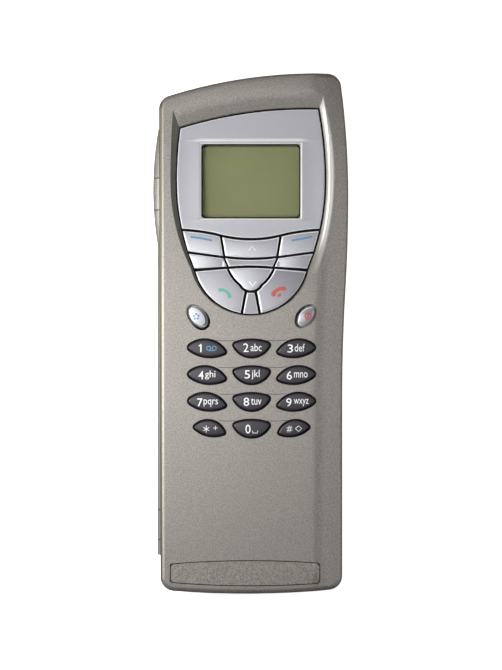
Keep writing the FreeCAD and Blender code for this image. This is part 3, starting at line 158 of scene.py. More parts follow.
def ranged(tree, source, low, high, start=0, end=1):
    """A value that runs from low to high while its source runs from start to end."""
    return node(tree, "ShaderNodeMapRange", dict(enumerate((source, start, end, low, high))))[0]


def blend_colour(tree, factor, first, second, kind="MIX"):
    return node(tree, "ShaderNodeMix", {0: factor, 6: first, 7: second}, data_type="RGBA", blend_type=kind)[2]


def combined(tree, kind, *values):
    return node(tree, "ShaderNodeMath", dict(enumerate(values)), operation=kind)[0]


def scaled(colour, factor):
    return tuple(min(1, c * factor) for c in colour[:3]) + (1,)


def paint(thing, material):
    thing.data.materials.clear()
    thing.data.materials.append(material)


def finish(name, colour, rough, metal, grain, depth, mottle, patch, wear=0, scratch=0, coat=0, spec=0.5,
           glass=0, ior=1.5, stretch=None, uneven=0.03, on=()):
    """A surface with fine grain, slow patches of tone, uneven gloss and rubbed edges, put on some nodes."""
    material = settled(bpy.data.materials.new(name), use_nodes=True)
    tree = material.node_tree
    tree.nodes.clear()
    colour = srgb(*colour)
    coords = node(tree, "ShaderNodeTexCoord")["Object"]
    fine = noise(tree, coords, grain, 3, stretch)
    slow = noise(tree, coords, 45, 2)
    tone = blend_colour(tree, ranged(tree, fine, 0, 1, 0.3, 0.7),
                        scaled(colour, 1 - mottle), scaled(colour, 1 + mottle))
    tone = blend_colour(tree, ranged(tree, slow, 0, 1, 0.35, 0.65), tone,
                        blend_colour(tree, 1, tone, scaled((1 - patch,) * 3, 1), "MULTIPLY"))
    rough_value = ranged(tree, slow, max(0.02, rough - uneven), rough + uneven, 0.3, 0.7)
    if wear:
        rubbed = ranged(tree, node(tree, "ShaderNodeNewGeometry")["Pointiness"], 0, 1, 0.52, 0.6)
        broken = ranged(tree, noise(tree, coords, 700, 4), 0, 1, 0.42, 0.62)
        amount = ranged(tree, combined(tree, "MULTIPLY", rubbed, broken), 0, wear)
        tone = blend_colour(tree, amount, tone, scaled(colour, 1.5))
    if scratch:
        lines = noise(tree, coords, 260, 2, (9, 0.5, 1))
        tone = blend_colour(tree, ranged(tree, lines, 0, scratch, 0.66, 0.72), tone, scaled(colour, 1.35))
    bump = node(tree, "ShaderNodeBump", {"Strength": 1, "Distance": depth * MM, "Height": fine})[0]
    shader = node(tree, "ShaderNodeBsdfPrincipled", {
        "Base Color": tone, "Roughness": rough_value, "Normal": bump, "Metallic": metal, "IOR": ior,
        "Specular IOR Level": spec, "Coat Weight": coat, "Coat Roughness": 0.12, "Transmission Weight": glass})
    node(tree, "ShaderNodeOutputMaterial", {0: shader[0]})
    for label in on:
        paint(NODES[label], material)
    return material


def shader_of(material):
    return next(n for n in material.node_tree.nodes if n.type == "BSDF_PRINCIPLED").inputs


def overlaid(material, mask, colour):
    """Another base colour where a mask is one."""
    socket = shader_of(material)["Base Color"]
    tree = material.node_tree
    tree.links.new(blend_colour(tree, mask, socket.links[0].from_socket, srgb(*colour)), socket)


def axes(tree, kind="Object"):
    """The three parts of a texture coordinate."""
    return node(tree, "ShaderNodeSeparateXYZ", {0: node(tree, "ShaderNodeTexCoord")[kind]})


def within_box(tree, mask, box):
    """A mask kept only inside a box: three pairs of limits in millimetres, in the object's own coordinates."""
    for value, (low, high) in zip(axes(tree), box):
        inside = combined(tree, "COMPARE", value, (low + high) / 2 * MM, (high - low) / 2 * MM)
        mask = combined(tree, "MULTIPLY", mask, inside)
    return mask


def recoloured(material, boxes, colour):
    """Another colour inside boxes."""
    tree = material.node_tree
    mask = 0
    for box in boxes:
        mask = combined(tree, "MAXIMUM", mask, within_box(tree, 1, box))
    overlaid(material, mask, colour)


def painted_rim_highlight(material, colour, start, end):
    """Painted highlight: bright, duller metal where a surface turns over an edge, away from the object's own upward
    axis.
    """
    tree = material.node_tree
    upward = axes(tree, "Normal")[2]
    mask = combined(tree, "MULTIPLY", ranged(tree, upward, 1, 0, end, start),
                    ranged(tree, upward, 0, 1, 0.1, 0.35))
    overlaid(material, mask, colour)
    metal = shader_of(material)["Metallic"]
    tree.links.new(ranged(tree, mask, metal.default_value, 0.1), metal)


def slope_shade(material, side, box, colour, strength):
    """Painted shade: another tone on slopes that face one side, inside a box: the walls of the recess."""
    tree = material.node_tree
    facing = combined(tree, "MULTIPLY", axes(tree, "Normal")[0], side)
    overlaid(material, within_box(tree, ranged(tree, facing, 0, strength, 0.2, 0.5), box), colour)


def case_paint(name, on):
    return finish(name, (150, 145, 139), 0.45, 0.6, 2300, 0.05, 0.24, 0, wear=0.1, uneven=0.008, on=on)


def menu_paint(name, colour, on):
    """Smooth metallic paint, with a painted highlight on its rims."""
    material = finish(name, colour, 0.34, 0.6, 3800, 0.003, 0.03, 0, uneven=0.008, on=on)
    painted_rim_highlight(material, (250, 250, 252), 0.985, 0.88)


def ink(name, colour, mottle=0.05):
    return finish(name, colour, 0.5, 0, 3000, 0.002, mottle, 0.02)


# Name, colour, roughness, metal, scale and depth of the grain, strength of its tones and of the patches, and nodes
COVER = case_paint("cover_paint", ["lid_outer_cover"])
BASE = case_paint("base_paint", ["keyboard_cover"])
finish("plate_paint", (147, 142, 135), 0.47, 0.6, 2100, 0.07, 0.34, 0, wear=0.1, uneven=0.008, on=["cover_plate"])
BEZEL = finish("bezel_paint", (178, 178, 184), 0.42, 0.2, 3800, 0.004, 0.03, 0, uneven=0.008, on=["display_bezel"])
menu_paint("menu_key_paint", (190, 190, 196), [*MENU_KEYS, "key_spacers"])
menu_paint("end_key_paint", (156, 155, 161), ["end_key"])
menu_paint("call_key_paint", (172, 172, 177), ["call_key"])
finish("number_key_plastic", (54, 51, 57), 0.36, 0, 3400, 0.008, 0.14, 0.1, wear=0.2, on=NUMBER_KEYS)
GREY_KEY = finish("grey_key_plastic", (158, 156, 160), 0.3, 0.35, 3000, 0.004, 0.03, 0.03, on=["power_key"])
WHITE_KEY = finish("white_key_plastic", (214, 217, 222), 0.3, 0.25, 3000, 0.004, 0.03, 0.03, on=["profile_key"])
FRAME = finish("frame_plastic", (10, 10, 11), 0.7, 0, 2400, 0.01, 0.2, 0.1, spec=0.15, on=["key_frame"])
finish("clear_window", (236, 238, 228), 0.06, 0, 900, 0.0006, 0.01, 0.02, glass=1, ior=1.2,
       on=["phone_display_window", "inner_display_window"])
LCD = finish("small_display", (168, 168, 131), 0.5, 0, 1500, 0.001, 0.02, 0.06, on=["phone_display"])
finish("wide_display", (74, 80, 84), 0.3, 0, 1500, 0.001, 0.03, 0.06, on=["inner_display"])
finish("inner_plastic", (104, 104, 108), 0.5, 0.1, 2400, 0.02, 0.12, 0.05, wear=0.2, on=["lid_inner_cover"])
finish("command_key_plastic", (136, 136, 142), 0.4, 0.3, 2600, 0.01, 0.06, 0.05, wear=0.2, on=COMMAND_KEYS)
finish("keycap_plastic", (70, 70, 75), 0.42, 0, 2600, 0.012, 0.12, 0.05, wear=0.25,
       on=["letter_keys", "enter_key", "space_bar", *ARROWS])
finish("program_key_plastic", (158, 160, 166), 0.4, 0.3, 2600, 0.01, 0.06, 0.05, wear=0.2, on=["application_keys"])
finish("keypad_rubber", (170, 170, 168), 0.6, 0, 1800, 0.02, 0.08, 0.05, on=["phone_keypad_mat", "keyboard_mat"])
finish("circuit_board", (46, 92, 60), 0.35, 0, 700, 0.02, 0.25, 0.15, on=["phone_keypad_board", "main_board"])
finish("battery_shell", (140, 135, 130), 0.48, 0.3, 2600, 0.03, 0.12, 0.05, wear=0.2, scratch=0.2, on=["battery"])
finish("bottom_paint", (150, 145, 140), 0.48, 0.3, 2600, 0.03, 0.12, 0.05, wear=0.25, scratch=0.2, on=["bottom_cover"])
LATCH = finish("latch_plastic", (52, 52, 54), 0.5, 0, 2200, 0.02, 0.15, 0.05, wear=0.25, on=["battery_latch"])
STEEL = finish("steel", (170, 170, 172), 0.3, 1, 1500, 0.006, 0.1, 0.08, stretch=(1, 1, 6),
               on=["hinge_pins", "case_screws"])
finish("speaker_metal", (64, 64, 66), 0.4, 0.9, 1500, 0.02, 0.15, 0.08, on=["loudspeaker", "earpiece", "microphone"])
finish("reader_metal", (176, 176, 178), 0.3, 0.95, 1200, 0.01, 0.08, 0.1, scratch=0.3, on=["card_reader"])
CONNECTOR = finish("connector_plastic", (44, 44, 45), 0.45, 0, 2200, 0.02, 0.15, 0.05,
                   on=["system_connector", "charger_jack"])
finish("infrared_plastic", (48, 18, 24), 0.12, 0, 1500, 0.002, 0.05, 0.05, coat=0.6, on=["infrared_window"])
GOLD = finish("antenna_metal", (206, 172, 96), 0.3, 1, 1500, 0.008, 0.08, 0.08, on=["antenna"])
LABEL = finish("bare_label", (150, 150, 148), 0.5, 0.1, 900, 0.004, 0.04, 0.06, scratch=0.3)
# A painted highlight for the bright edges outside the collars of the oval keys
GLINT = finish("painted_collar_glint", (176, 172, 166), 0.4, 0.2, 3000, 0.004, 0.06, 0)
SEAM = finish("seam_shade", (44, 40, 36), 0.7, 0, 2400, 0.01, 0.2, 0.1, spec=0.2)
LIP = finish("window_lip", (152, 150, 138), 0.35, 0.1, 3800, 0.003, 0.03, 0)
# One grey for printed marks and ridges, and for the painted shade of the creases between keys
GREY_MARKS_AND_SHADE = finish("grey_marks_and_crease_shade", (78, 74, 70), 0.6, 0.2, 3000, 0.002, 0.05, 0.02)
INK = ink("white_legend", (236, 236, 236), 0.04)
BLUE = ink("blue_legend", (88, 138, 176))
GREEN = ink("green_legend", (98, 172, 150))
RED = ink("red_legend", (186, 84, 76))
# Painted highlights on the rims of the bezel and of the two oval keys
painted_rim_highlight(BEZEL, (246, 246, 248), 0.985, 0.88)
painted_rim_highlight(WHITE_KEY, (252, 252, 254), 0.96, 0.85)
painted_rim_highlight(GREY_KEY, (236, 236, 240), 0.94, 0.8)

# The walls round the keys are painted near black: painted shade for the dark gaps round the keys
recoloured(COVER, [((-20.3, 20.3), (-36, -0.6), (23.8, 26.7)), ((-20.3, 18), (-36, -0.6), (23.8, 26.92)),
                   ((-21, -11), (-0.6, 11), (23.8, 26.92)), ((11, 20.9), (-0.6, 11), (23.8, 26.7))],
           (24, 23, 24))
# Painted shade: the walls of the recess, on slopes that face one side, and the rim over the hinge are darker than the
# cover
slope_shade(COVER, -1, [(10, 25.6), (4, 78), (22, 27)], (112, 109, 103), 0.75)
slope_shade(COVER, 1, [(-25, -8), (4, 78), (22, 27)], (98, 96, 88), 0.9)
recoloured(COVER, [((-28.6, -26.75), (-77, 74), (24.6, 27))], (96, 92, 78))
# The window's edge throws a shade on the display, and the tray of the keyboard is bare plastic
recoloured(LCD, [((-16, 16.2), (56.6, 58.2), (20, 27)), ((-16, -14.4), (34, 58.2), (20, 27))], (112, 116, 92))
recoloured(BASE, [((-16.2, 26), (-75, 75), (14, 15.55))], (96, 96, 100))


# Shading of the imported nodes

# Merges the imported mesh's doubled corners and shades it smooth up to an edge angle
SMOOTH_LIMIT = 34
group = bpy.data.node_groups.new("smoothing", "GeometryNodeTree")
for way in ("INPUT", "OUTPUT"):
    group.interface.new_socket("Geometry", in_out=way, socket_type="NodeSocketGeometry")
whole = node(group, "NodeGroupInput")
merged = node(group, "GeometryNodeMergeByDistance", {"Geometry": whole[0], "Distance": 1e-6})
smooth = node(group, "GeometryNodeSetShadeSmooth", {"Geometry": merged[0]})
angle = node(group, "GeometryNodeInputMeshEdgeAngle")
sharp = node(group, "FunctionNodeCompare", {0: angle[0], 1: math.radians(SMOOTH_LIMIT)}, operation="GREATER_THAN")
edges = node(group, "GeometryNodeSetShadeSmooth",
             {"Geometry": smooth[0], "Selection": sharp[0], "Shade Smooth": False}, domain="EDGE")
node(group, "NodeGroupOutput", {0: edges[0]})
# Plain blocks get a narrow bevel instead
BEVELS = {"battery": 0.35, "battery_latch": 0.2, "cover_plate": 0.12, **dict.fromkeys(COMMAND_KEYS, 0.3)}
for label, thing in NODES.items():
    if label in BEVELS:
        settled(thing.modifiers.new("merge", "WELD"), merge_threshold=1e-6)
        settled(thing.modifiers.new("flat", "DECIMATE"), decimate_type="DISSOLVE", angle_limit=math.radians(0.5))
        settled(thing.modifiers.new("edges", "BEVEL"), width=BEVELS[label] * MM, segments=3, limit_method="ANGLE",
                angle_limit=math.radians(40), harden_normals=True)
    else:
        settled(thing.modifiers.new("smooth", "NODES"), node_group=group)
        settled(thing.modifiers.new("weigh", "WEIGHTED_NORMAL"), mode="FACE_AREA", weight=50, keep_sharp=True)


# Meshes


def placed(name, data, location=(0, 0, 0)):
    thing = bpy.data.objects.new(name, data)
    thing.location = location
    bpy.context.scene.collection.objects.link(thing)
    return thing


def made_object(name, bm, label, material, smooth=False):
    """A piece on the same body as a node, with the material that it is given."""
    mesh = bpy.data.meshes.new(name)
    bmesh.ops.recalc_face_normals(bm, faces=bm.faces[:])
    bm.to_mesh(mesh)
    bm.free()
    thing = placed(name, mesh)
    for face in mesh.polygons:
        face.use_smooth = smooth
    paint(thing, material)
    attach(thing, NODES[label]["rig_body"])
    return thing


def extent(values):
    values = list(values)
    return min(values), max(values)


CAPS = {}


def replacement(name, bm, label, edge_angle):
    """A piece shown instead of a node, with edges sharper than an angle left sharp."""
    thing = made_object(name, bm, label, NODES[label].data.materials[0], smooth=True)
    thing.data.set_sharp_from_angle(angle=math.radians(edge_angle))
    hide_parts(label)
    CAPS[label] = thing


def level(bm, outline, z):
    """Vertices along an outline at one height, in millimetres."""
    return [bm.verts.new((x * MM, y * MM, z * MM)) for x, y in outline]


def welded(label, matrix):
    """A copy of a node's mesh with its doubled corners merged, in a frame of its own."""
    bm = bmesh.new()
    bm.from_mesh(NODES[label].data)
    bmesh.ops.remove_doubles(bm, verts=bm.verts[:], dist=1e-6)
    bmesh.ops.transform(bm, matrix=matrix.inverted(), verts=bm.verts[:])
    bm.edges.index_update()
    return bm


def loops_of(edges):
    """The closed chains of vertices that rim edges make, in the same order on every run."""
    left = dict.fromkeys(sorted(edges, key=lambda edge: edge.index))
    loops = []
    while left:
        edge = next(iter(left))
        del left[edge]
        loop = list(edge.verts)
        while loop[-1] is not loop[0]:
            step = next(e for e in loop[-1].link_edges if e in left)
            del left[step]
            loop.append(step.other_vert(loop[-1]))
        loops.append(loop[:-1])
    return loops


TOP_DEPTH = 0.36


def top_of(bm):
    """The height of the top, its faces and the chains of vertices round them."""
    top = max(v.co.z for v in bm.verts)
    upper = dict.fromkeys(
        f for f in bm.faces if f.normal.z > 0.3 and f.calc_center_median().z > top - TOP_DEPTH * MM)
    return top, upper, loops_of({e for f in upper for e in f.edges if sum(g in upper for g in e.link_faces) == 1})


def flat_outline(loop):
    return np.array([(v.co.x / MM, v.co.y / MM) for v in loop])


def sides(outlines):
    return np.concatenate(outlines), np.concatenate([np.roll(o, -1, axis=0) for o in outlines])


def rim_distance(points, outlines):
    """Distance of each point to the nearest side of the outlines."""
    starts, ends = sides(outlines)
    steps = ends - starts
    rel = points[:, None, :] - starts[None]
    share = np.clip((rel * steps).sum(2) / (steps ** 2).sum(1), 0, 1)
    return np.sqrt(((rel - share[..., None] * steps) ** 2).sum(2)).min(1)


def within(points, outlines):
    """Whether each point lies inside the outlines, with holes left out."""
    (start_x, start_y), (end_x, end_y) = (corners.T for corners in sides(outlines))
    x, y = points.T[:, :, None]
    rise = np.where(end_y == start_y, 1e-9, end_y - start_y)
    cross = start_x + (y - start_y) * (end_x - start_x) / rise
    return (((start_y > y) != (end_y > y)) & (x < cross)).sum(1) % 2 == 1


def ring_points(outlines, depth):
    """Points at one depth inside the outlines, where that depth is their true distance."""
    found = []
    for a, b in zip(*sides(outlines)):
        length = np.linalg.norm(b - a)
        way = np.array([a[1] - b[1], b[0] - a[0]]) / max(length, 1e-9)
        count = max(1, int(round(length / RIM_STEP)))
        for k in range(count):
            middle = a + (b - a) * (k + 0.5) / count
            found.extend((middle + way * depth, middle - way * depth))
    found = np.array(found)
    found = found[within(found, outlines)]
    return found[rim_distance(found, outlines) > depth * 0.97]


def inward(outline, others):
    """Unit ways into the material at the corners of an outline."""
    along = np.roll(outline, -1, axis=0) - np.roll(outline, 1, axis=0)
    along /= np.maximum(np.linalg.norm(along, axis=1), 1e-9)[:, None]
    ways = np.stack([-along[:, 1], along[:, 0]], 1)
    share = within(outline + 0.02 * ways, others).mean()
    return ways if share > 0.5 else -ways


def slimmed(bm, outlines, slim):
    """Moves the walls below the outer outlines inwards by so many millimetres."""
    result = []
    for outline in outlines:
        rest = [o for o in outlines if o is not outline]
        if rest and within(outline[:1], rest)[0]:
            result.append(outline)
            continue
        moved = outline + slim * inward(outline, outlines)
        for v in bm.verts:
            gaps = np.hypot(outline[:, 0] - v.co.x / MM, outline[:, 1] - v.co.y / MM)
            k = int(gaps.argmin())
            if gaps[k] < 0.01:
                v.co.x, v.co.y = moved[k][0] * MM, moved[k][1] * MM
        result.append(moved)
    return result


# Rows of points in a rounded rim, as shares of its width, and the spacing of the points along it
RIM_SHARES = (0.06, 0.2, 0.42, 0.7, 1)
RIM_STEP = 0.32
HEX_ROW = 0.866


def capped(label, edge, crown, slim, matrix=UPRIGHT, spacing=0.42, dense=()):
    """The node with its flat top remade: a rounded rim, and a height set by crown(u, v) in millimetres."""
    bm = welded(label, matrix)
    top, upper, loops = top_of(bm)
    rim_verts = [v for loop in loops for v in loop]
    keep = set(rim_verts)
    bmesh.ops.delete(bm, geom=list(upper), context="FACES_ONLY")
    bmesh.ops.delete(bm, geom=[v for v in bm.verts if not v.link_faces and v not in keep], context="VERTS")
    for e in [e for e in bm.edges if not e.link_faces]:
        bm.edges.remove(e)
    outlines = slimmed(bm, [flat_outline(loop) for loop in loops], slim)
    corners = np.concatenate(outlines)
    low, high = corners.min(0), corners.max(0)
    columns, rows = (int(span / gap) + 2 for span, gap in zip(high - low, (spacing, spacing * HEX_ROW)))
    grid = [(low[0] + 0.5 * spacing * (j % 2) + i * spacing, low[1] + j * spacing * HEX_ROW)
            for j in range(rows) for i in range(columns)]
    grid = np.array(grid + list(dense))
    grid = grid[within(grid, outlines)]
    grid = grid[rim_distance(grid, outlines) > edge * 1.2]
    cloud = np.concatenate([corners, *(ring_points(outlines, edge * share) for share in RIM_SHARES), grid])
    walls, base = [], 0
    for outline in outlines:
        walls.extend((base + k, base + (k + 1) % len(outline)) for k in range(len(outline)))
        base += len(outline)
    verts, _, faces, sources, _, _ = delaunay_2d_cdt([Vector(p) for p in cloud], walls, [], 1, 1e-5)
    flat = np.array([tuple(v) for v in verts])
    depth = rim_distance(flat, outlines)
    made = []
    for place, came, d in zip(flat, sources, depth):
        drop = edge - math.sqrt(max(0, edge ** 2 - (edge - min(d, edge)) ** 2))
        height = top + (crown(place[0], place[1]) - drop) * MM
        first = min(came) if came else len(cloud)
        if first < len(rim_verts):
            vert = rim_verts[first]
            vert.co.z = height
        else:
            vert = bm.verts.new((place[0] * MM, place[1] * MM, height))
        made.append(vert)
    centres = np.array([flat[list(face)].mean(0) for face in faces])
    for face, inside in zip(faces, within(centres, outlines)):
        if inside and len({made[k] for k in face}) == len(face):
            bm.faces.new([made[k] for k in face])
    bmesh.ops.delete(bm, geom=[v for v in bm.verts if not v.link_faces], context="VERTS")
    bmesh.ops.transform(bm, matrix=matrix, verts=bm.verts[:])
    replacement(f"{label}_cap", bm, label, 46)


def join(bm, lower, upper):
    for a, b, c, d in zip(lower, lower[1:] + lower[:1], upper[1:] + upper[:1], upper):
        bm.faces.new((a, b, c, d))


def rim(bm, rings):
    """Walls through rings, from the last back to the first."""
    for a, b in zip(rings, rings[1:] + rings[:1]):
        join(bm, a, b)


def tube(bm, rings):
    """Walls through a row of rings, closed at both ends."""
    for a, b in zip(rings, rings[1:]):
        join(bm, a, b)
    bm.faces.new(rings[0][::-1])
    bm.faces.new(rings[-1])


CROWN_DROP = 0.03


def dome(label, across, along, matrix=UPRIGHT):
    """A crown that falls away from the middle of a node, by so much at its sides and at its ends."""
    corners = [matrix.inverted() @ v.co / MM for v in NODES[label].data.vertices]
    top = max(p.z for p in corners)
    left, right = extent(p.x for p in corners if p.z > top - 0.5)
    low, high = extent(p.y for p in corners if p.z > top - 0.5)

    def crown(u, v):
        a = (u - (left + right) / 2) / ((right - left) / 2)
        b = (v - (low + high) / 2) / ((high - low) / 2)
        return -CROWN_DROP - across * a * a - along * b * b

    return crown


for label in NUMBER_KEYS:
    capped(label, 0.45, dome(label, 0.16, 0.16), 0.03)
for label in OVAL_KEYS:
    capped(label, 0.5, dome(label, 0.3, 0.3), 0.12)
FALL = {"soft_key_left": (0.1, 0.12), "soft_key_right": (0.1, 0.12), "scroll_up_key": (0.12, 0.1),
        "scroll_down_key": (0.27, 0.05), "call_key": (0.16, 0.16), "end_key": (0.16, 0.16)}
for label in MENU_KEYS:
    capped(label, 0.42, dome(label, *FALL[label], TILTED), 0.1, TILTED, 0.38)


def spacer_height(u, v):
    """The tail is a short cylinder, the middle strip leans, and the side strips fall away at their ends."""
    if abs(u) < 3.2 and v < 9.5:
        return -0.1 - 0.07 * (u + 0.4)
    if abs(u) < 8.3:
        return -0.22 * min(1, max(0, (v - 14.4) / 2.6))
    return -0.2 * ((abs(u) - 13.2) / 4.5) ** 2


capped("key_spacers", 0.32, spacer_height, 0.08, TILTED, 0.3)

# The raised lines round the small window, and the window's middle and half sizes in the insert's own frame
WINDOW_V = 40.65
WINDOW_HALF_U = 15.1
WINDOW_HALF_V = 11.35


def hill(distance, width):
    return math.exp(-(distance / width) ** 2)


def fade(value, start, end):
    share = min(1, max(0, (end - value) / (end - start)))
    return share * share * (3 - 2 * share)


def bezel_height(u, v):
    over = v - WINDOW_V - WINDOW_HALF_V
    under = WINDOW_V - WINDOW_HALF_V - v
    side = abs(u) - WINDOW_HALF_U
    brow = 0.24 * hill(over - 1.2, 0.26) * fade(abs(u), 13.5, 21)
    lip = 0.14 * hill(under - 0.6, 0.4) * fade(abs(u), 14.5, 19.5)
    cheek = 0.06 * hill(side - 0.7, 0.4) * fade(abs(v - WINDOW_V), 10, 12.5)
    hollow = -0.1 * hill(side - 4, 2.6) * fade(abs(v - WINDOW_V), 8, 14)
    return brow + lip + cheek + hollow


# Rows of points that carry the two raised lines: distances over and under the window
OVER = (0.5, 0.8, 0.95, 1.08, 1.2, 1.32, 1.45, 1.6, 1.9)
UNDER = (0.35, 0.6, 0.85, 1.2)
LINE_HALF = 21
LINE_POINTS = 150
rows = [WINDOW_V + WINDOW_HALF_V + over for over in OVER] + [WINDOW_V - WINDOW_HALF_V - under for under in UNDER]
lines = [(-LINE_HALF + 2 * LINE_HALF * k / (LINE_POINTS - 1), v) for k in range(LINE_POINTS) for v in rows]
capped("display_bezel", 0.36, bezel_height, 0.09, TILTED, 0.75, lines)


def around(centre, radius, angle):
    return centre[0] + radius * math.cos(angle), centre[1] + radius * math.sin(angle)


def arc(centre, radius, start, end, steps):
    return [around(centre, radius, math.radians(start + (end - start) * k / steps)) for k in range(steps + 1)]


def disc_outline(centre, radius, steps):
    return arc(centre, radius, 0, 360 - 360 / steps, steps - 1)


def rounded_box(half_u, half_v, radius, steps, u, v):
    """The outline of a rectangle with rounded corners, in millimetres."""
    points = []
    for k, (a, b) in enumerate(((1, 1), (-1, 1), (-1, -1), (1, -1))):
        centre = (u + a * (half_u - radius), v + b * (half_v - radius))
        points.extend(arc(centre, radius, 90 * k, 90 * k + 90, steps))
    return points


def rim_piece(name, outer, inner, low, high, label, material, matrix=UPRIGHT):
    """A closed rim between two outlines with the same number of corners."""
    bm = bmesh.new()
    rim(bm, [level(bm, outer, low), level(bm, outer, high), level(bm, inner, high), level(bm, inner, low)])
    bmesh.ops.transform(bm, matrix=matrix, verts=bm.verts[:])
    made_object(name, bm, label, material)


# A pale lip rounds the corners of the small window, and a black gasket lines it
def window_box(out_u, out_v, radius):
    return rounded_box(WINDOW_HALF_U + out_u, WINDOW_HALF_V + out_v, radius, 5, 0, WINDOW_V)


rim_piece("window_lip", window_box(0.05, 0.05, 0.1), window_box(-0.1, -0.1, 1.1), -1.25, -0.1, "display_bezel", LIP,
          TILTED)
rim_piece("window_gasket", window_box(-0.08, -0.08, 1.05), window_box(-0.38, -0.4, 1.5), -1.28, -0.36, "key_frame",
          FRAME, TILTED)


def outer_outline(label, matrix=UPRIGHT):
    """The longest outline of a node's top, in millimetres, with its ways into the material."""
    bm = welded(label, matrix)
    loops = top_of(bm)[2]
    outline = flat_outline(max(loops, key=lambda loop: sum((a.co - b.co).length for a, b in zip(loop, loop[1:]))))
    bm.free()
    return outline, inward(outline, [outline])


# A black seal fills the gap between the insert and the walls of its recess, and stands in as painted shade for that gap
outline, ways = outer_outline("key_frame", TILTED)
rim_piece("insert_seal_and_shade", (outline - 0.3 * ways).tolist(), (outline - 0.02 * ways).tolist(), -1.68, -0.34,
          "key_frame", FRAME, TILTED)


def turned_piece(name, centre, profile, steps, label, material, smooth=False):
    """A round piece along Y, from pairs of radius and Y round a middle in X and Z."""
    bm = bmesh.new()
    tube(bm, [[bm.verts.new((x * MM, y * MM, z * MM)) for x, z in disc_outline(centre, radius, steps)]
              for radius, y in profile])
    made_object(name, bm, label, material, smooth)


# Dark washers in the gaps between the knuckles of the hinge
HINGE_AXIS = (-23.4, 15.8)
for k, (low, high, radius) in enumerate(((-62.89, -62.61, 4.93), (-53.79, -53.51, 4.93), (37.51, 37.79, 6.1),
                                         (47.21, 47.49, 6.2))):
    profile = [(radius - 0.1, low), (radius, (low + high) / 2), (radius - 0.1, high)]
    turned_piece(f"hinge_washer_{k + 1}", HINGE_AXIS, profile, 48, "keyboard_cover", FRAME)


# Legends, laid on the surface below them


def tree_of(thing):
    bm = bmesh.new()
    bm.from_mesh(thing.data)
    tree = BVHTree.FromBMesh(bm)
    bm.free()
    return tree


def surface_below(tree, x, y):
    """The highest point of a surface at X and Y, all in metres."""
    return tree.ray_cast(Vector((x, y, 40 * MM)), Vector((0, 0, -1)))[0]


def sliced(bm, step):
    """Cuts a plate by a fine grid, so that it can follow a curved surface."""
    for axis in (0, 1):
        low, high = extent(v.co[axis] for v in bm.verts)
        way = Vector([float(k == axis) for k in range(3)])
        for k in range(1, int((high - low) / (step * MM)) + 1):
            bmesh.ops.bisect_plane(bm, geom=bm.verts[:] + bm.edges[:] + bm.faces[:], dist=1e-8,
                                   plane_co=way * (low + k * step * MM), plane_no=way)


def prism(bm, outline, low, high):
    """A thin closed plate from an outline in millimetres."""
    under, over = level(bm, outline, low), level(bm, outline, high)
    join(bm, under, over)
    faces = [bm.faces.new(under[::-1]), bm.faces.new(over)]
    bmesh.ops.triangulate(bm, faces=faces)


def ribbon(bm, points, widths):
    """A strip that follows points, with a width at each."""
    if not isinstance(widths, list):
        widths = [widths] * len(points)
    left, right = [], []
    for k, point in enumerate(points):
        before = Vector(points[max(0, k - 1)])
        after = Vector(points[min(len(points) - 1, k + 1)])
        way = (after - before).normalized()
        side = Vector((-way.y, way.x)) * widths[k] / 2
        left.append(tuple(Vector(point) + side))
        right.append(tuple(Vector(point) - side))
    for k in range(len(points) - 1):
        prism(bm, [left[k], right[k], right[k + 1], left[k + 1]], 0, 1)


def glyphs(text, bold):
    """Letters in the font's own units, as a closed plate from 0 to 1."""
    curve = settled(bpy.data.curves.new("letters", "FONT"), body=text, offset=bold, resolution_u=3, extrude=0.5)
    holder = placed("letters", curve)
    bpy.context.view_layer.update()
    mesh = bpy.data.meshes.new_from_object(holder.evaluated_get(bpy.context.evaluated_depsgraph_get()))
    bpy.data.objects.remove(holder)
    bpy.data.curves.remove(curve)
    part = bmesh.new()
    part.from_mesh(mesh)
    bpy.data.meshes.remove(mesh)
    bmesh.ops.remove_doubles(part, verts=part.verts[:], dist=1e-5)
    return part


def add_part(bm, part):
    whole = bpy.data.meshes.new("part")
    part.to_mesh(whole)
    part.free()
    bm.from_mesh(whole)
    bpy.data.meshes.remove(whole)


def photo_letters(bm, text, x0, x1, y0, y1, bold):
    """Letters fitted into a box of the photograph, as a closed plate one millimetre thick."""
    left, top = at(x0, y0)
    right, low = at(x1, y1)
    part = glyphs(text, bold)
    (x_low, x_high), (y_low, y_high) = [extent(v.co[axis] for v in part.verts) for axis in (0, 1)]
    sx = (right - left) / (x_high - x_low)
    sy = (top - low) / (y_high - y_low)
    for v in part.verts:
        v.co = Vector((left + (v.co.x - x_low) * sx, low + (v.co.y - y_low) * sy, v.co.z + 0.5)) * MM
    add_part(bm, part)


tall = glyphs("H", 0)
low, high = extent(v.co.y for v in tall.verts)
CAPITAL = high - low
tall.free()
KEYBOARD_BOLD = 0.004


def word(bm, text, x, y, height):
    """A word centred on a point of the keyboard, read from the opening side, with capitals of one height."""
    part = glyphs(text, KEYBOARD_BOLD)
    size = height / CAPITAL
    middle = sum(extent(v.co.x for v in part.verts)) / 2
    for v in part.verts:
        v.co = Vector((x - (v.co.y * size - height / 2), y + (v.co.x - middle) * size, v.co.z + 0.5)) * MM
    sliced(part, 0.5)
    add_part(bm, part)


# A legend's underside lies just in the surface, and it follows the surface no deeper than this below its highest point
LEGEND_SINK = 0.03
LEGEND_REACH = 1.4


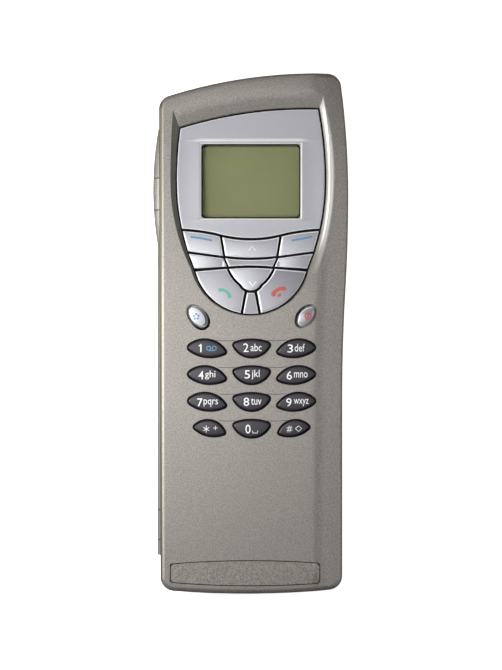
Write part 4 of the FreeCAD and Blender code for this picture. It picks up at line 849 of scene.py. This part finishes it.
def legend(name, bm, label, material=INK, high=0.02, step=0.4):
    """A plate one millimetre thick, laid down on the cap of a key or on a whole node as a mark."""
    tree = tree_of(CAPS.get(label, NODES[label]))
    if step:
        sliced(bm, step)
    verts = bm.verts[:]
    below = [surface_below(tree, v.co.x, v.co.y) for v in verts]
    floor = max(hit.z for hit in below if hit) - LEGEND_REACH * MM
    held = [(v.co.x, v.co.y, hit.z) for v, hit in zip(verts, below) if hit and hit.z > floor]
    for v, hit in zip(verts, below):
        lift = high if v.co.z > MM / 2 else -LEGEND_SINK
        if hit and hit.z > floor:
            height = hit.z
        else:
            height = min(held, key=lambda spot: (spot[0] - v.co.x) ** 2 + (spot[1] - v.co.y) ** 2)[2]
        v.co.z = height + lift * MM
    made_object(name, bm, label, material)


# The digit and the letters of each key, with their left, right, upper and lower edge in the photograph
TEXTS = {
    "key_2": [("2", 243.2, 248.6, 343.3, 352), ("abc", 250.6, 261.6, 343.6, 351.2)],
    "key_3": [("3", 287.6, 293, 344.4, 352.6), ("def", 294.6, 304.8, 343.8, 351.6)],
    "key_4": [("4", 198.2, 203.7, 371, 379.4), ("ghi", 205, 215.4, 370.6, 379.4)],
    "key_5": [("5", 244.6, 250, 370.2, 378.6), ("jkl", 251.6, 259.6, 369.8, 379.4)],
    "key_6": [("6", 286.6, 292, 371.2, 379.6), ("mno", 294, 307.6, 372.2, 377.6)],
    "key_7": [("7", 197.2, 202.6, 398.4, 406.6), ("pqrs", 203.6, 218, 399.4, 406.8)],
    "key_8": [("8", 243.6, 249.2, 397.6, 406), ("tuv", 251, 261.4, 398.2, 404.8)],
    "key_9": [("9", 286.2, 291.6, 398.2, 406.6), ("wxyz", 293.8, 308.6, 399, 406.4)],
    "key_0": [("0", 245.4, 250.6, 424.6, 433.6)],
}
DIGIT_BOLD = 0.004
LETTER_BOLD = 0.002


def star(x, y, reach, arms, width):
    """The strokes of a star, as points and widths."""
    angles = [math.pi * k / arms + math.pi / 2 for k in range(arms)]
    return [([around(at(x, y), end, angle) for end in (-reach, reach)], width) for angle in angles]


# Signs drawn as strokes, each with its points in millimetres and its width
SIGNS = {
    "key_1": [(spots((200.9, 344), (200.9, 352.2)), 0.42), (spots((198.7, 346.3), (201, 344.3)), 0.3)],
    "key_star": star(206.3, 429, 1.05, 3, 0.2) + star(215.4, 428, 0.62, 2, 0.17),
    "key_0": [(spots((252.4, 430.6), (252.8, 433), (257.4, 433), (257.8, 430.6)), 0.2)],
    "key_hash": [(spots((x - 0.7, 432.2), (x + 0.9, 425.8)), 0.18) for x in (288.4, 290.4)] + [
        (spots((286.6, y), (292.4, y)), 0.18) for y in (427.8, 430.2)] + [
        (spots((295.4, 428.6), (298.6, 425.8), (301.8, 428.6), (298.6, 431.4), (295.4, 428.6)), 0.2)],
}


def draw(bm, strokes):
    for points, width in strokes:
        ribbon(bm, points, width)


for label in NUMBER_KEYS:
    bm = bmesh.new()
    for text, bold in zip(TEXTS.get(label, ()), (DIGIT_BOLD, LETTER_BOLD)):
        photo_letters(bm, *text, bold)
    draw(bm, SIGNS.get(label, ()))
    legend(f"{label}_legend", bm, label)

HANDSET = spots((218.8, 288.6), (220.4, 290.2), (222, 289.8), (224.6, 290.4), (227.2, 292.2), (229, 294.6),
                (229.4, 296.4), (231, 297.6))
HUNG_UP = spots((272.2, 295.8), (273.6, 294.2), (274.6, 292.2), (277, 290.2), (279.8, 288.8), (282.4, 288.6),
                (284, 288.8), (285.6, 287.6))


def mark(name, label, material, strokes, dots=()):
    """A mark on an outer key, from strokes and from the middles of round dots."""
    bm = bmesh.new()
    draw(bm, strokes)
    for dot in dots:
        prism(bm, disc_outline(dot, 0.36, 12), 0, 1)
    legend(name, bm, label, material)


mark("key_1_mailbox", "key_1", BLUE, [(arc(at(x, 348.2), 0.62, 0, 360, 16), 0.3) for x in (208.6, 214.2)] + [
    (spots((208.6, 350.6), (214.2, 350.6)), 0.28)])
mark("soft_key_left_line", "soft_key_left", BLUE, [(spots((190.5, 236.8), (201, 238.2), (212, 240.4)), 0.56)])
mark("soft_key_right_line", "soft_key_right", BLUE, [(spots((291.5, 240.4), (302, 238.6), (312, 236.5)), 0.56)])
mark("scroll_up_mark", "scroll_up_key", INK, [(spots((248.6, 250.6), (252.1, 246.2), (255.6, 250.6)), 0.24)])
mark("scroll_down_mark", "scroll_down_key", INK, [(spots((249.2, 281.6), (252.6, 286), (256.2, 281.6)), 0.34)])
mark("call_mark", "call_key", GREEN, [(HANDSET, [0.9, 1.25, 1.05, 0.8, 0.8, 1.05, 1.3, 0.9])])
mark("end_mark", "end_key", RED, [(HUNG_UP, [0.9, 1.5, 1.2, 1.1, 1.1, 1.2, 1.5, 0.9]),
                                  (spots((277.6, 296.2), (281, 294.2)), 0.8)])
mark("profile_mark", "profile_key", BLUE, [],
     [around(at(196.2, 316.6), 0.72, math.radians(20 + 72 * k)) for k in range(5)])
mark("power_mark", "power_key", RED, [(arc(at(308, 316.2), 0.95, 0, 360, 20), 0.34),
                                      (spots((308, 313.8), (308, 318.2)), 0.4)])

# A painted highlight lies on the right shoulder of the recess, along a circle through the flank of the insert
outline, ways = outer_outline("key_frame", TILTED)
flank = np.array([(x + TIP[0], y + TIP[1]) for x, y in outline if x > 14 and 24 < y < 58])
terms = np.column_stack([2 * flank, np.ones(len(flank))])
mid_x, mid_y, rest = np.linalg.lstsq(terms, (flank ** 2).sum(1), rcond=None)[0]
radius = math.sqrt(rest + mid_x ** 2 + mid_y ** 2)
tree = COVER.node_tree
x, y, z = axes(tree)
across = combined(tree, "SUBTRACT", x, mid_x * MM)
along = combined(tree, "SUBTRACT", y, mid_y * MM)
squares = combined(tree, "ADD", combined(tree, "MULTIPLY", across, across), combined(tree, "MULTIPLY", along, along))
outside = combined(tree, "SUBTRACT", combined(tree, "POWER", squares, 0.5), radius * MM)
mask = 1
for value, low, high, first, last in ((outside, 0.9, 1.7, 0, 1), (outside, 2.35, 2.95, 1, 0), (x, 12, 18, 0, 1),
                                      (y, 18, 30, 0, 1), (y, 60, 71, 1, 0), (z, 24, 25, 0, 1)):
    mask = combined(tree, "MULTIPLY", mask, ranged(tree, value, first, last, low * MM, high * MM))
overlaid(COVER, mask, (240, 237, 230))

# A dark seam round the cover plate, dark collars of painted shade round the keys, and a painted highlight, a bright
# edge, outside those of the oval keys
LID_TREE = tree_of(NODES["lid_outer_cover"])


def surface_ring(name, outer, inner, probe, high, material):
    """A thin closed ring whose height follows the lid at probe points beside it."""
    bm = bmesh.new()
    heights = [surface_below(LID_TREE, px * MM, py * MM).z for px, py in probe]
    rim(bm, [[bm.verts.new((x * MM, y * MM, height + lift * MM)) for (x, y), height in zip(outline, heights)]
             for outline, lift in ((outer, -0.3), (outer, high), (inner, high), (inner, -0.3))])
    made_object(name, bm, "lid_outer_cover", material)


outline, ways = outer_outline("cover_plate")
surface_ring("plate_seam", outline - 0.26 * ways, outline + 0.02 * ways, outline - 0.5 * ways, 0.008, SEAM)
# The collars of the oval keys are painted shade that widens to one side, by so much
for label, toward, widening in (("profile_key", (1, -1), 0.75), ("power_key", (-1, 0.55), 0.3)):
    outline, ways = outer_outline(label)
    spokes = outline - outline.mean(0)
    share = np.clip(spokes @ np.array(Vector(toward).normalized()) / 3.2, 0, 1)[:, None]
    hole = outline - 0.5 * ways
    collar = hole - (0.16 + widening * share) * ways
    surface_ring(f"{label}_collar", collar, hole, hole - 0.9 * ways, 0.012, FRAME)
    glint = np.clip(spokes @ np.array((0.8, -0.6)) / 4, 0, 1)[:, None]
    edge = collar + 0.02 * ways
    surface_ring(f"{label}_edge", edge - (0.04 + 0.2 * glint) * ways, edge, edge - 0.6 * ways, 0.012, GLINT)
# The collars of the number keys are painted shade that widens the dark gap round each key
for label in NUMBER_KEYS:
    outline, ways = outer_outline(label)
    hole = outline - 0.33 * ways
    surface_ring(f"{label}_collar", hole - 0.14 * ways, hole, hole - 0.6 * ways, 0.01, FRAME)

# Painted shade lines mark fine creases that join the tops of the keys in each row, and stop where the lid has a hole
KEY_ROW = 26.75
COVER_LOW = 26.3
bm = bmesh.new()
for row in range(4):
    y = 340.6 + KEY_ROW * row
    for start, sag, end in (((212.5, y - 0.8), (224, y + 1), (238.5, y - 0.4)),
                            ((267, y - 0.4), (276, y + 0.9), (286.5, y - 0.6))):
        points = []
        for k in range(9):
            t = k / 8
            point = at(*((1 - t) ** 2 * p + 2 * t * (1 - t) * q + t * t * r for p, q, r in zip(start, sag, end)))
            hits = [surface_below(LID_TREE, point[0] * MM, (point[1] + side) * MM) for side in (-0.15, 0.15)]
            if all(hit and hit.z > COVER_LOW * MM for hit in hits):
                points.append(point)
        ribbon(bm, points, 0.2)
legend("key_row_crease_shades", bm, "lid_outer_cover", GREY_MARKS_AND_SHADE, 0.006)

# Keyboard: dished keycaps in place of the plain blocks

COLUMN = 10.4
ROW = 6.9
FIRST_ROW = -6.4
CAP_LOW = 14.4
CAP_HIGH = 15.4
CAP_HALF_X = 2.6
CAP_HALF_Y = 4.65
CAP_EDGE = 50
# Row, first column and the words of the keys that stand side by side
ROWS = [(0, 0, "Esc 1 2 3 4 5 6 7 8 9 0 - = Del"), (1, 0, "Tab Q W E R T Y U I O P [ ] Back"),
        (2, 0, "Caps A S D F G H J K L ; '"), (3, 0, "Shift Z X C V B N M , . / Shift"), (3, 13, "Menu"),
        (4, 0, "Ctrl Chr Help Alt"), (4, 9, "Fn Ctrl")]
LETTER_KEYS = [(row, first + k, text) for row, first, words in ROWS for k, text in enumerate(words.split())]


def place_of(row, column):
    return FIRST_ROW + ROW * row, (column - 6.5) * COLUMN


def keycap(bm, x, y, half_x, half_y, low, high, radius=0.8, dish=0.12):
    """A tapered keycap with a rounded rim and a shallow dish, closed all round."""
    profile = [(0.04, low), (0.06, low + 0.35), (0.2, high - 0.26), (0.28, high - 0.1), (0.4, high - 0.02),
               (0.55, high), (0.95, high - dish * 0.4), (1.4, high - dish * 0.8), (1.85, high - dish)]
    rings = []
    for inset, z in profile:
        corner = min(half_x - inset, max(0.15, radius - inset * 0.4)) - 0.01
        outline = rounded_box(half_x - inset, half_y - inset, corner, 4, x, y)
        rings.append(level(bm, outline, z))
    tube(bm, rings)


def key_marks(name, bm, label, material=INK):
    legend(name, bm, label, material, 0.015, 0)


def box_of(label):
    """The middle, half size, underside and top of a node's box, in millimetres."""
    low, high = (np.array(corner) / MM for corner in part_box(label))
    return (low + high) / 2, (high - low) / 2, low[2], high[2]


bm = bmesh.new()
for row, column, _ in LETTER_KEYS:
    keycap(bm, *place_of(row, column), CAP_HALF_X, CAP_HALF_Y, CAP_LOW, CAP_HIGH)
# Small bars mark the two home keys
for column in (4, 7):
    x, y = place_of(2, column)
    prism(bm, rounded_box(0.12, 0.8, 0.1, 2, x + 1.35, y), CAP_HIGH - 0.14, CAP_HIGH + 0.02)
replacement("letter_key_caps", bm, "letter_keys", CAP_EDGE)
LETTER_SIZE = 2.1
WORD_SIZE = 1.35
bm = bmesh.new()
for row, column, text in LETTER_KEYS:
    x, y = place_of(row, column)
    word(bm, text, x - 0.1, y, LETTER_SIZE if len(text) == 1 else WORD_SIZE)
key_marks("letter_key_legends", bm, "letter_keys")

for label in ("enter_key", "space_bar", *ARROWS):
    (x, y, _), (half_x, half_y, _), low, high = box_of(label)
    bm = bmesh.new()
    keycap(bm, x, y, half_x, half_y, low, high)
    replacement(f"{label}_cap", bm, label, CAP_EDGE)
    bm = bmesh.new()
    if label in ARROWS:
        way = Vector(ARROWS[label])
        side = Vector((-way.y, way.x))
        middle = Vector((x, y))
        prism(bm, [tuple(middle + way * 0.9), tuple(middle + side * 0.8 - way * 0.5),
                   tuple(middle - side * 0.8 - way * 0.5)], 0, 1)
    elif label == "enter_key":
        word(bm, "Enter", x - 0.1, y, WORD_SIZE)
    else:
        ribbon(bm, [(x - 0.5, y - 2.6), (x + 0.5, y - 2.6), (x + 0.5, y + 2.6), (x - 0.5, y + 2.6)], 0.24)
    key_marks(f"{label}_legend", bm, label)

PROGRAM_X = -12.7
PROGRAM_STEP = 18.2
PROGRAM_HALF = (1.95, 7.7)
bm = bmesh.new()
for k in range(8):
    keycap(bm, PROGRAM_X, (k - 3.5) * PROGRAM_STEP, *PROGRAM_HALF, CAP_LOW, CAP_HIGH, 1.5, -0.06)
replacement("application_key_caps", bm, "application_keys", CAP_EDGE)


def box_lines(half_x, half_y):
    return [(-half_x, -half_y), (half_x, -half_y), (half_x, half_y), (-half_x, half_y), (-half_x, -half_y)]


# A generic mark for each of the eight keys, as lines round its middle
ICONS = [
    [arc((0, -0.9), 1.3, 35, 145, 8), [(-1.2, -0.4), (-0.8, 0)], [(1.2, -0.4), (0.8, 0)]],
    [box_lines(1.3, 0.85), [(-1.3, 0.85), (0, -0.1), (1.3, 0.85)]],
    [arc((0, 0), 1, 0, 360, 16), [(-1, 0), (1, 0)], [(0, -1), (0, 1)]],
    [arc((0, 0.5), 0.5, 0, 360, 12), arc((0, -1), 0.9, 0, 180, 8)],
    [box_lines(0.85, 1.1), [(-0.5, 0.4), (0.5, 0.4)], [(-0.5, -0.1), (0.5, -0.1)], [(-0.5, -0.6), (0.2, -0.6)]],
    [box_lines(1.1, 1), [(-1.1, 0.45), (1.1, 0.45)], [(-0.4, 0.45), (-0.4, -1)], [(0.4, 0.45), (0.4, -1)]],
    [box_lines(1.1, 1.1), [(0, -1.1), (0, 1.1)], [(-1.1, 0), (1.1, 0)]],
    [[(-1.1, 0), (0, 1), (1.1, 0)], [(-0.8, 0.2), (-0.8, -1), (0.8, -1), (0.8, 0.2)]],
]
bm = bmesh.new()
for k, lines in enumerate(ICONS):
    middle = (k - 3.5) * PROGRAM_STEP
    for line in lines:
        ribbon(bm, [(PROGRAM_X - b, middle + a) for a, b in line], 0.2)
key_marks("application_key_marks", bm, "application_keys", GREY_MARKS_AND_SHADE)


def plates(name, outlines, low, high, label, material):
    """Thin closed plates between two heights, in one piece."""
    bm = bmesh.new()
    for outline in outlines:
        prism(bm, outline, low, high)
    made_object(name, bm, label, material)


# Inner face of the lid: a black border on the wide display, marks on the command keys and two bumpers
rim_piece("wide_display_border", rounded_box(17.3, 54.8, 0.3, 4, 5, -8), rounded_box(14.6, 51.6, 0.7, 4, 5, -8),
          17.32, 17.38, "key_frame", FRAME)
for label in COMMAND_KEYS:
    (x, y, _), _, low, _ = box_of(label)
    plates(f"{label}_mark", [rounded_box(0.22, 1.6, 0.2, 3, x, y)], low - 0.015, low + 0.1, label, INK)
plates("lid_bumpers", [disc_outline((24.2, y), 1.1, 20) for y in (-73.2, 73.2)], 15.75, 16.05, "phone_keypad_mat",
       LATCH)

# Back: grip ridges on the battery and its latch, a bare label and the floor of the latch's bay
(_, middle, _), (_, half, _), low, _ = box_of("battery")
plates("battery_ridges", [rounded_box(7.5, 0.28, 0.25, 3, 2, middle + half - 3.2 - 1.3 * k) for k in range(6)],
       low - 0.06, low + 0.2, "battery", LATCH)
plates("battery_label", [rounded_box(13, 18, 1.2, 4, 2, -18)], low - 0.04, low + 0.2, "battery", LABEL)
(_, middle, _), _, low, _ = box_of("battery_latch")
plates("latch_ridges", [rounded_box(4.2, 0.16, 0.15, 3, 0, middle + 0.75 * k) for k in (-2, -1, 0, 1, 2)],
       low - 0.12, low + 0.2, "battery_latch", GREY_MARKS_AND_SHADE)
plates("latch_bay_floor", [rounded_box(6.4, 5, 0.2, 2, 0, 29.2)], 3.1, 3.3, "bottom_cover", FRAME)

# Case screws with a star recess: radius, height and depth of the lobes of each ring, from the shank's end
SCREWS = [(-21.8, -70), (-21.8, 64), (21.8, -70), (14.3, 68)]
SCREW_RINGS = [(0.9, 10.2, 0), (0.9, 1.7, 0), (1.98, 1.68, 0), (1.98, 0.7, 0), (1.88, 0.48, 0), (1.65, 0.4, 0),
               (0.98, 0.4, 0.12), (0.92, 0.46, 0.13), (0.86, 1.15, 0.14)]
SCREW_STEPS = 48
SCREW_ANGLES = [2 * math.pi * k / SCREW_STEPS for k in range(SCREW_STEPS)]
bm = bmesh.new()
for screw in SCREWS:
    tube(bm, [level(bm, [around(screw, radius * (1 + lobes * math.cos(6 * angle)), angle) for angle in SCREW_ANGLES], z)
              for radius, z, lobes in SCREW_RINGS])
replacement("torx_screws", bm, "case_screws", 35)

# Lower end: the charger socket's pin and the connector's tongue with its contacts
turned_piece("charger_pin", (-9, 10.2), [(0.42, -69.9), (0.42, -76.2), (0.3, -76.5)], 24, "charger_jack", STEEL,
             True)


def rectangle(left, right, low, high):
    return [(left, low), (right, low), (right, high), (left, high)]


plates("connector_tongue", [rectangle(-1.1, 9.1, -77.7, -73.9)], 9.95, 10.45, "system_connector", CONNECTOR)
contacts = [rectangle(x - 0.22, x + 0.22, -77.5, -74) for x in (-0.6 + 0.84 * k for k in range(12))]
plates("connector_contacts", contacts, 10.4, 10.52, "system_connector", GOLD)

# Camera, floor and lights

scene = bpy.context.scene
scene.view_settings.view_transform = "Standard"
scene.world = settled(bpy.data.worlds.new("studio"), use_nodes=True)
background = scene.world.node_tree.nodes["Background"].inputs
background["Color"].default_value = (0.9, 0.92, 0.95, 1)
background["Strength"].default_value = 0.06

DISTANCE = 1.6
TOP_Z = 0.027
SENSOR = 36
centre_x, centre_y = at(IMAGE_W / 2, IMAGE_H / 2)
lens = settled(bpy.data.cameras.new("camera"), sensor_width=SENSOR, lens=SENSOR * DISTANCE / (IMAGE_H * PX * MM))
scene.camera = placed("camera", lens, (centre_x * MM, centre_y * MM, TOP_Z + DISTANCE))

bm = bmesh.new()
bmesh.ops.create_grid(bm, x_segments=8, y_segments=8, size=3.0)
floor_mesh = bpy.data.meshes.new("floor")
bm.to_mesh(floor_mesh)
bm.free()
floor = placed("floor", floor_mesh, (0, 0, -0.0002))
paper = finish("floor_paper", (240, 240, 240), 0.7, 0, 400, 0.01, 0.01, 0.01)
glow = shader_of(paper)
glow["Emission Color"].default_value = (1, 1, 1, 1)
glow["Emission Strength"].default_value = 0.9
paint(floor, paper)
floor.visible_glossy = False
floor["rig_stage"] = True


LIT_POINT = Vector((0, 0, 0.02))


def light(name, place, size, size_y, power):
    """A rectangular studio light that points at the middle of the part."""
    data = settled(bpy.data.lights.new(name, "AREA"), shape="RECTANGLE", size=size, size_y=size_y, energy=power)
    aim = LIT_POINT - Vector(place)
    placed(name, data, place).rotation_euler = aim.to_track_quat("-Z", "Y").to_euler()


light("near_left", (-0.13, 0, 0.13), 0.06, 0.4, 0.39)
light("left", (-0.24, 0.02, 0.24), 0.1, 0.3, 0.66)
light("low_left", (-0.3, 0.03, 0.05), 0.06, 0.3, 0.3)
light("back", (0, 0.6, 0.5), 0.6, 0.3, 0.66)
light("right", (0.5, 0, 0.35), 0.1, 0.6, 0.75)

bpy.context.view_layer.update()
VISUAL_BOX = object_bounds()
rows = {"cad": [list(v) for v in CAD_BOX], "visual": [list(v) for v in VISUAL_BOX]}
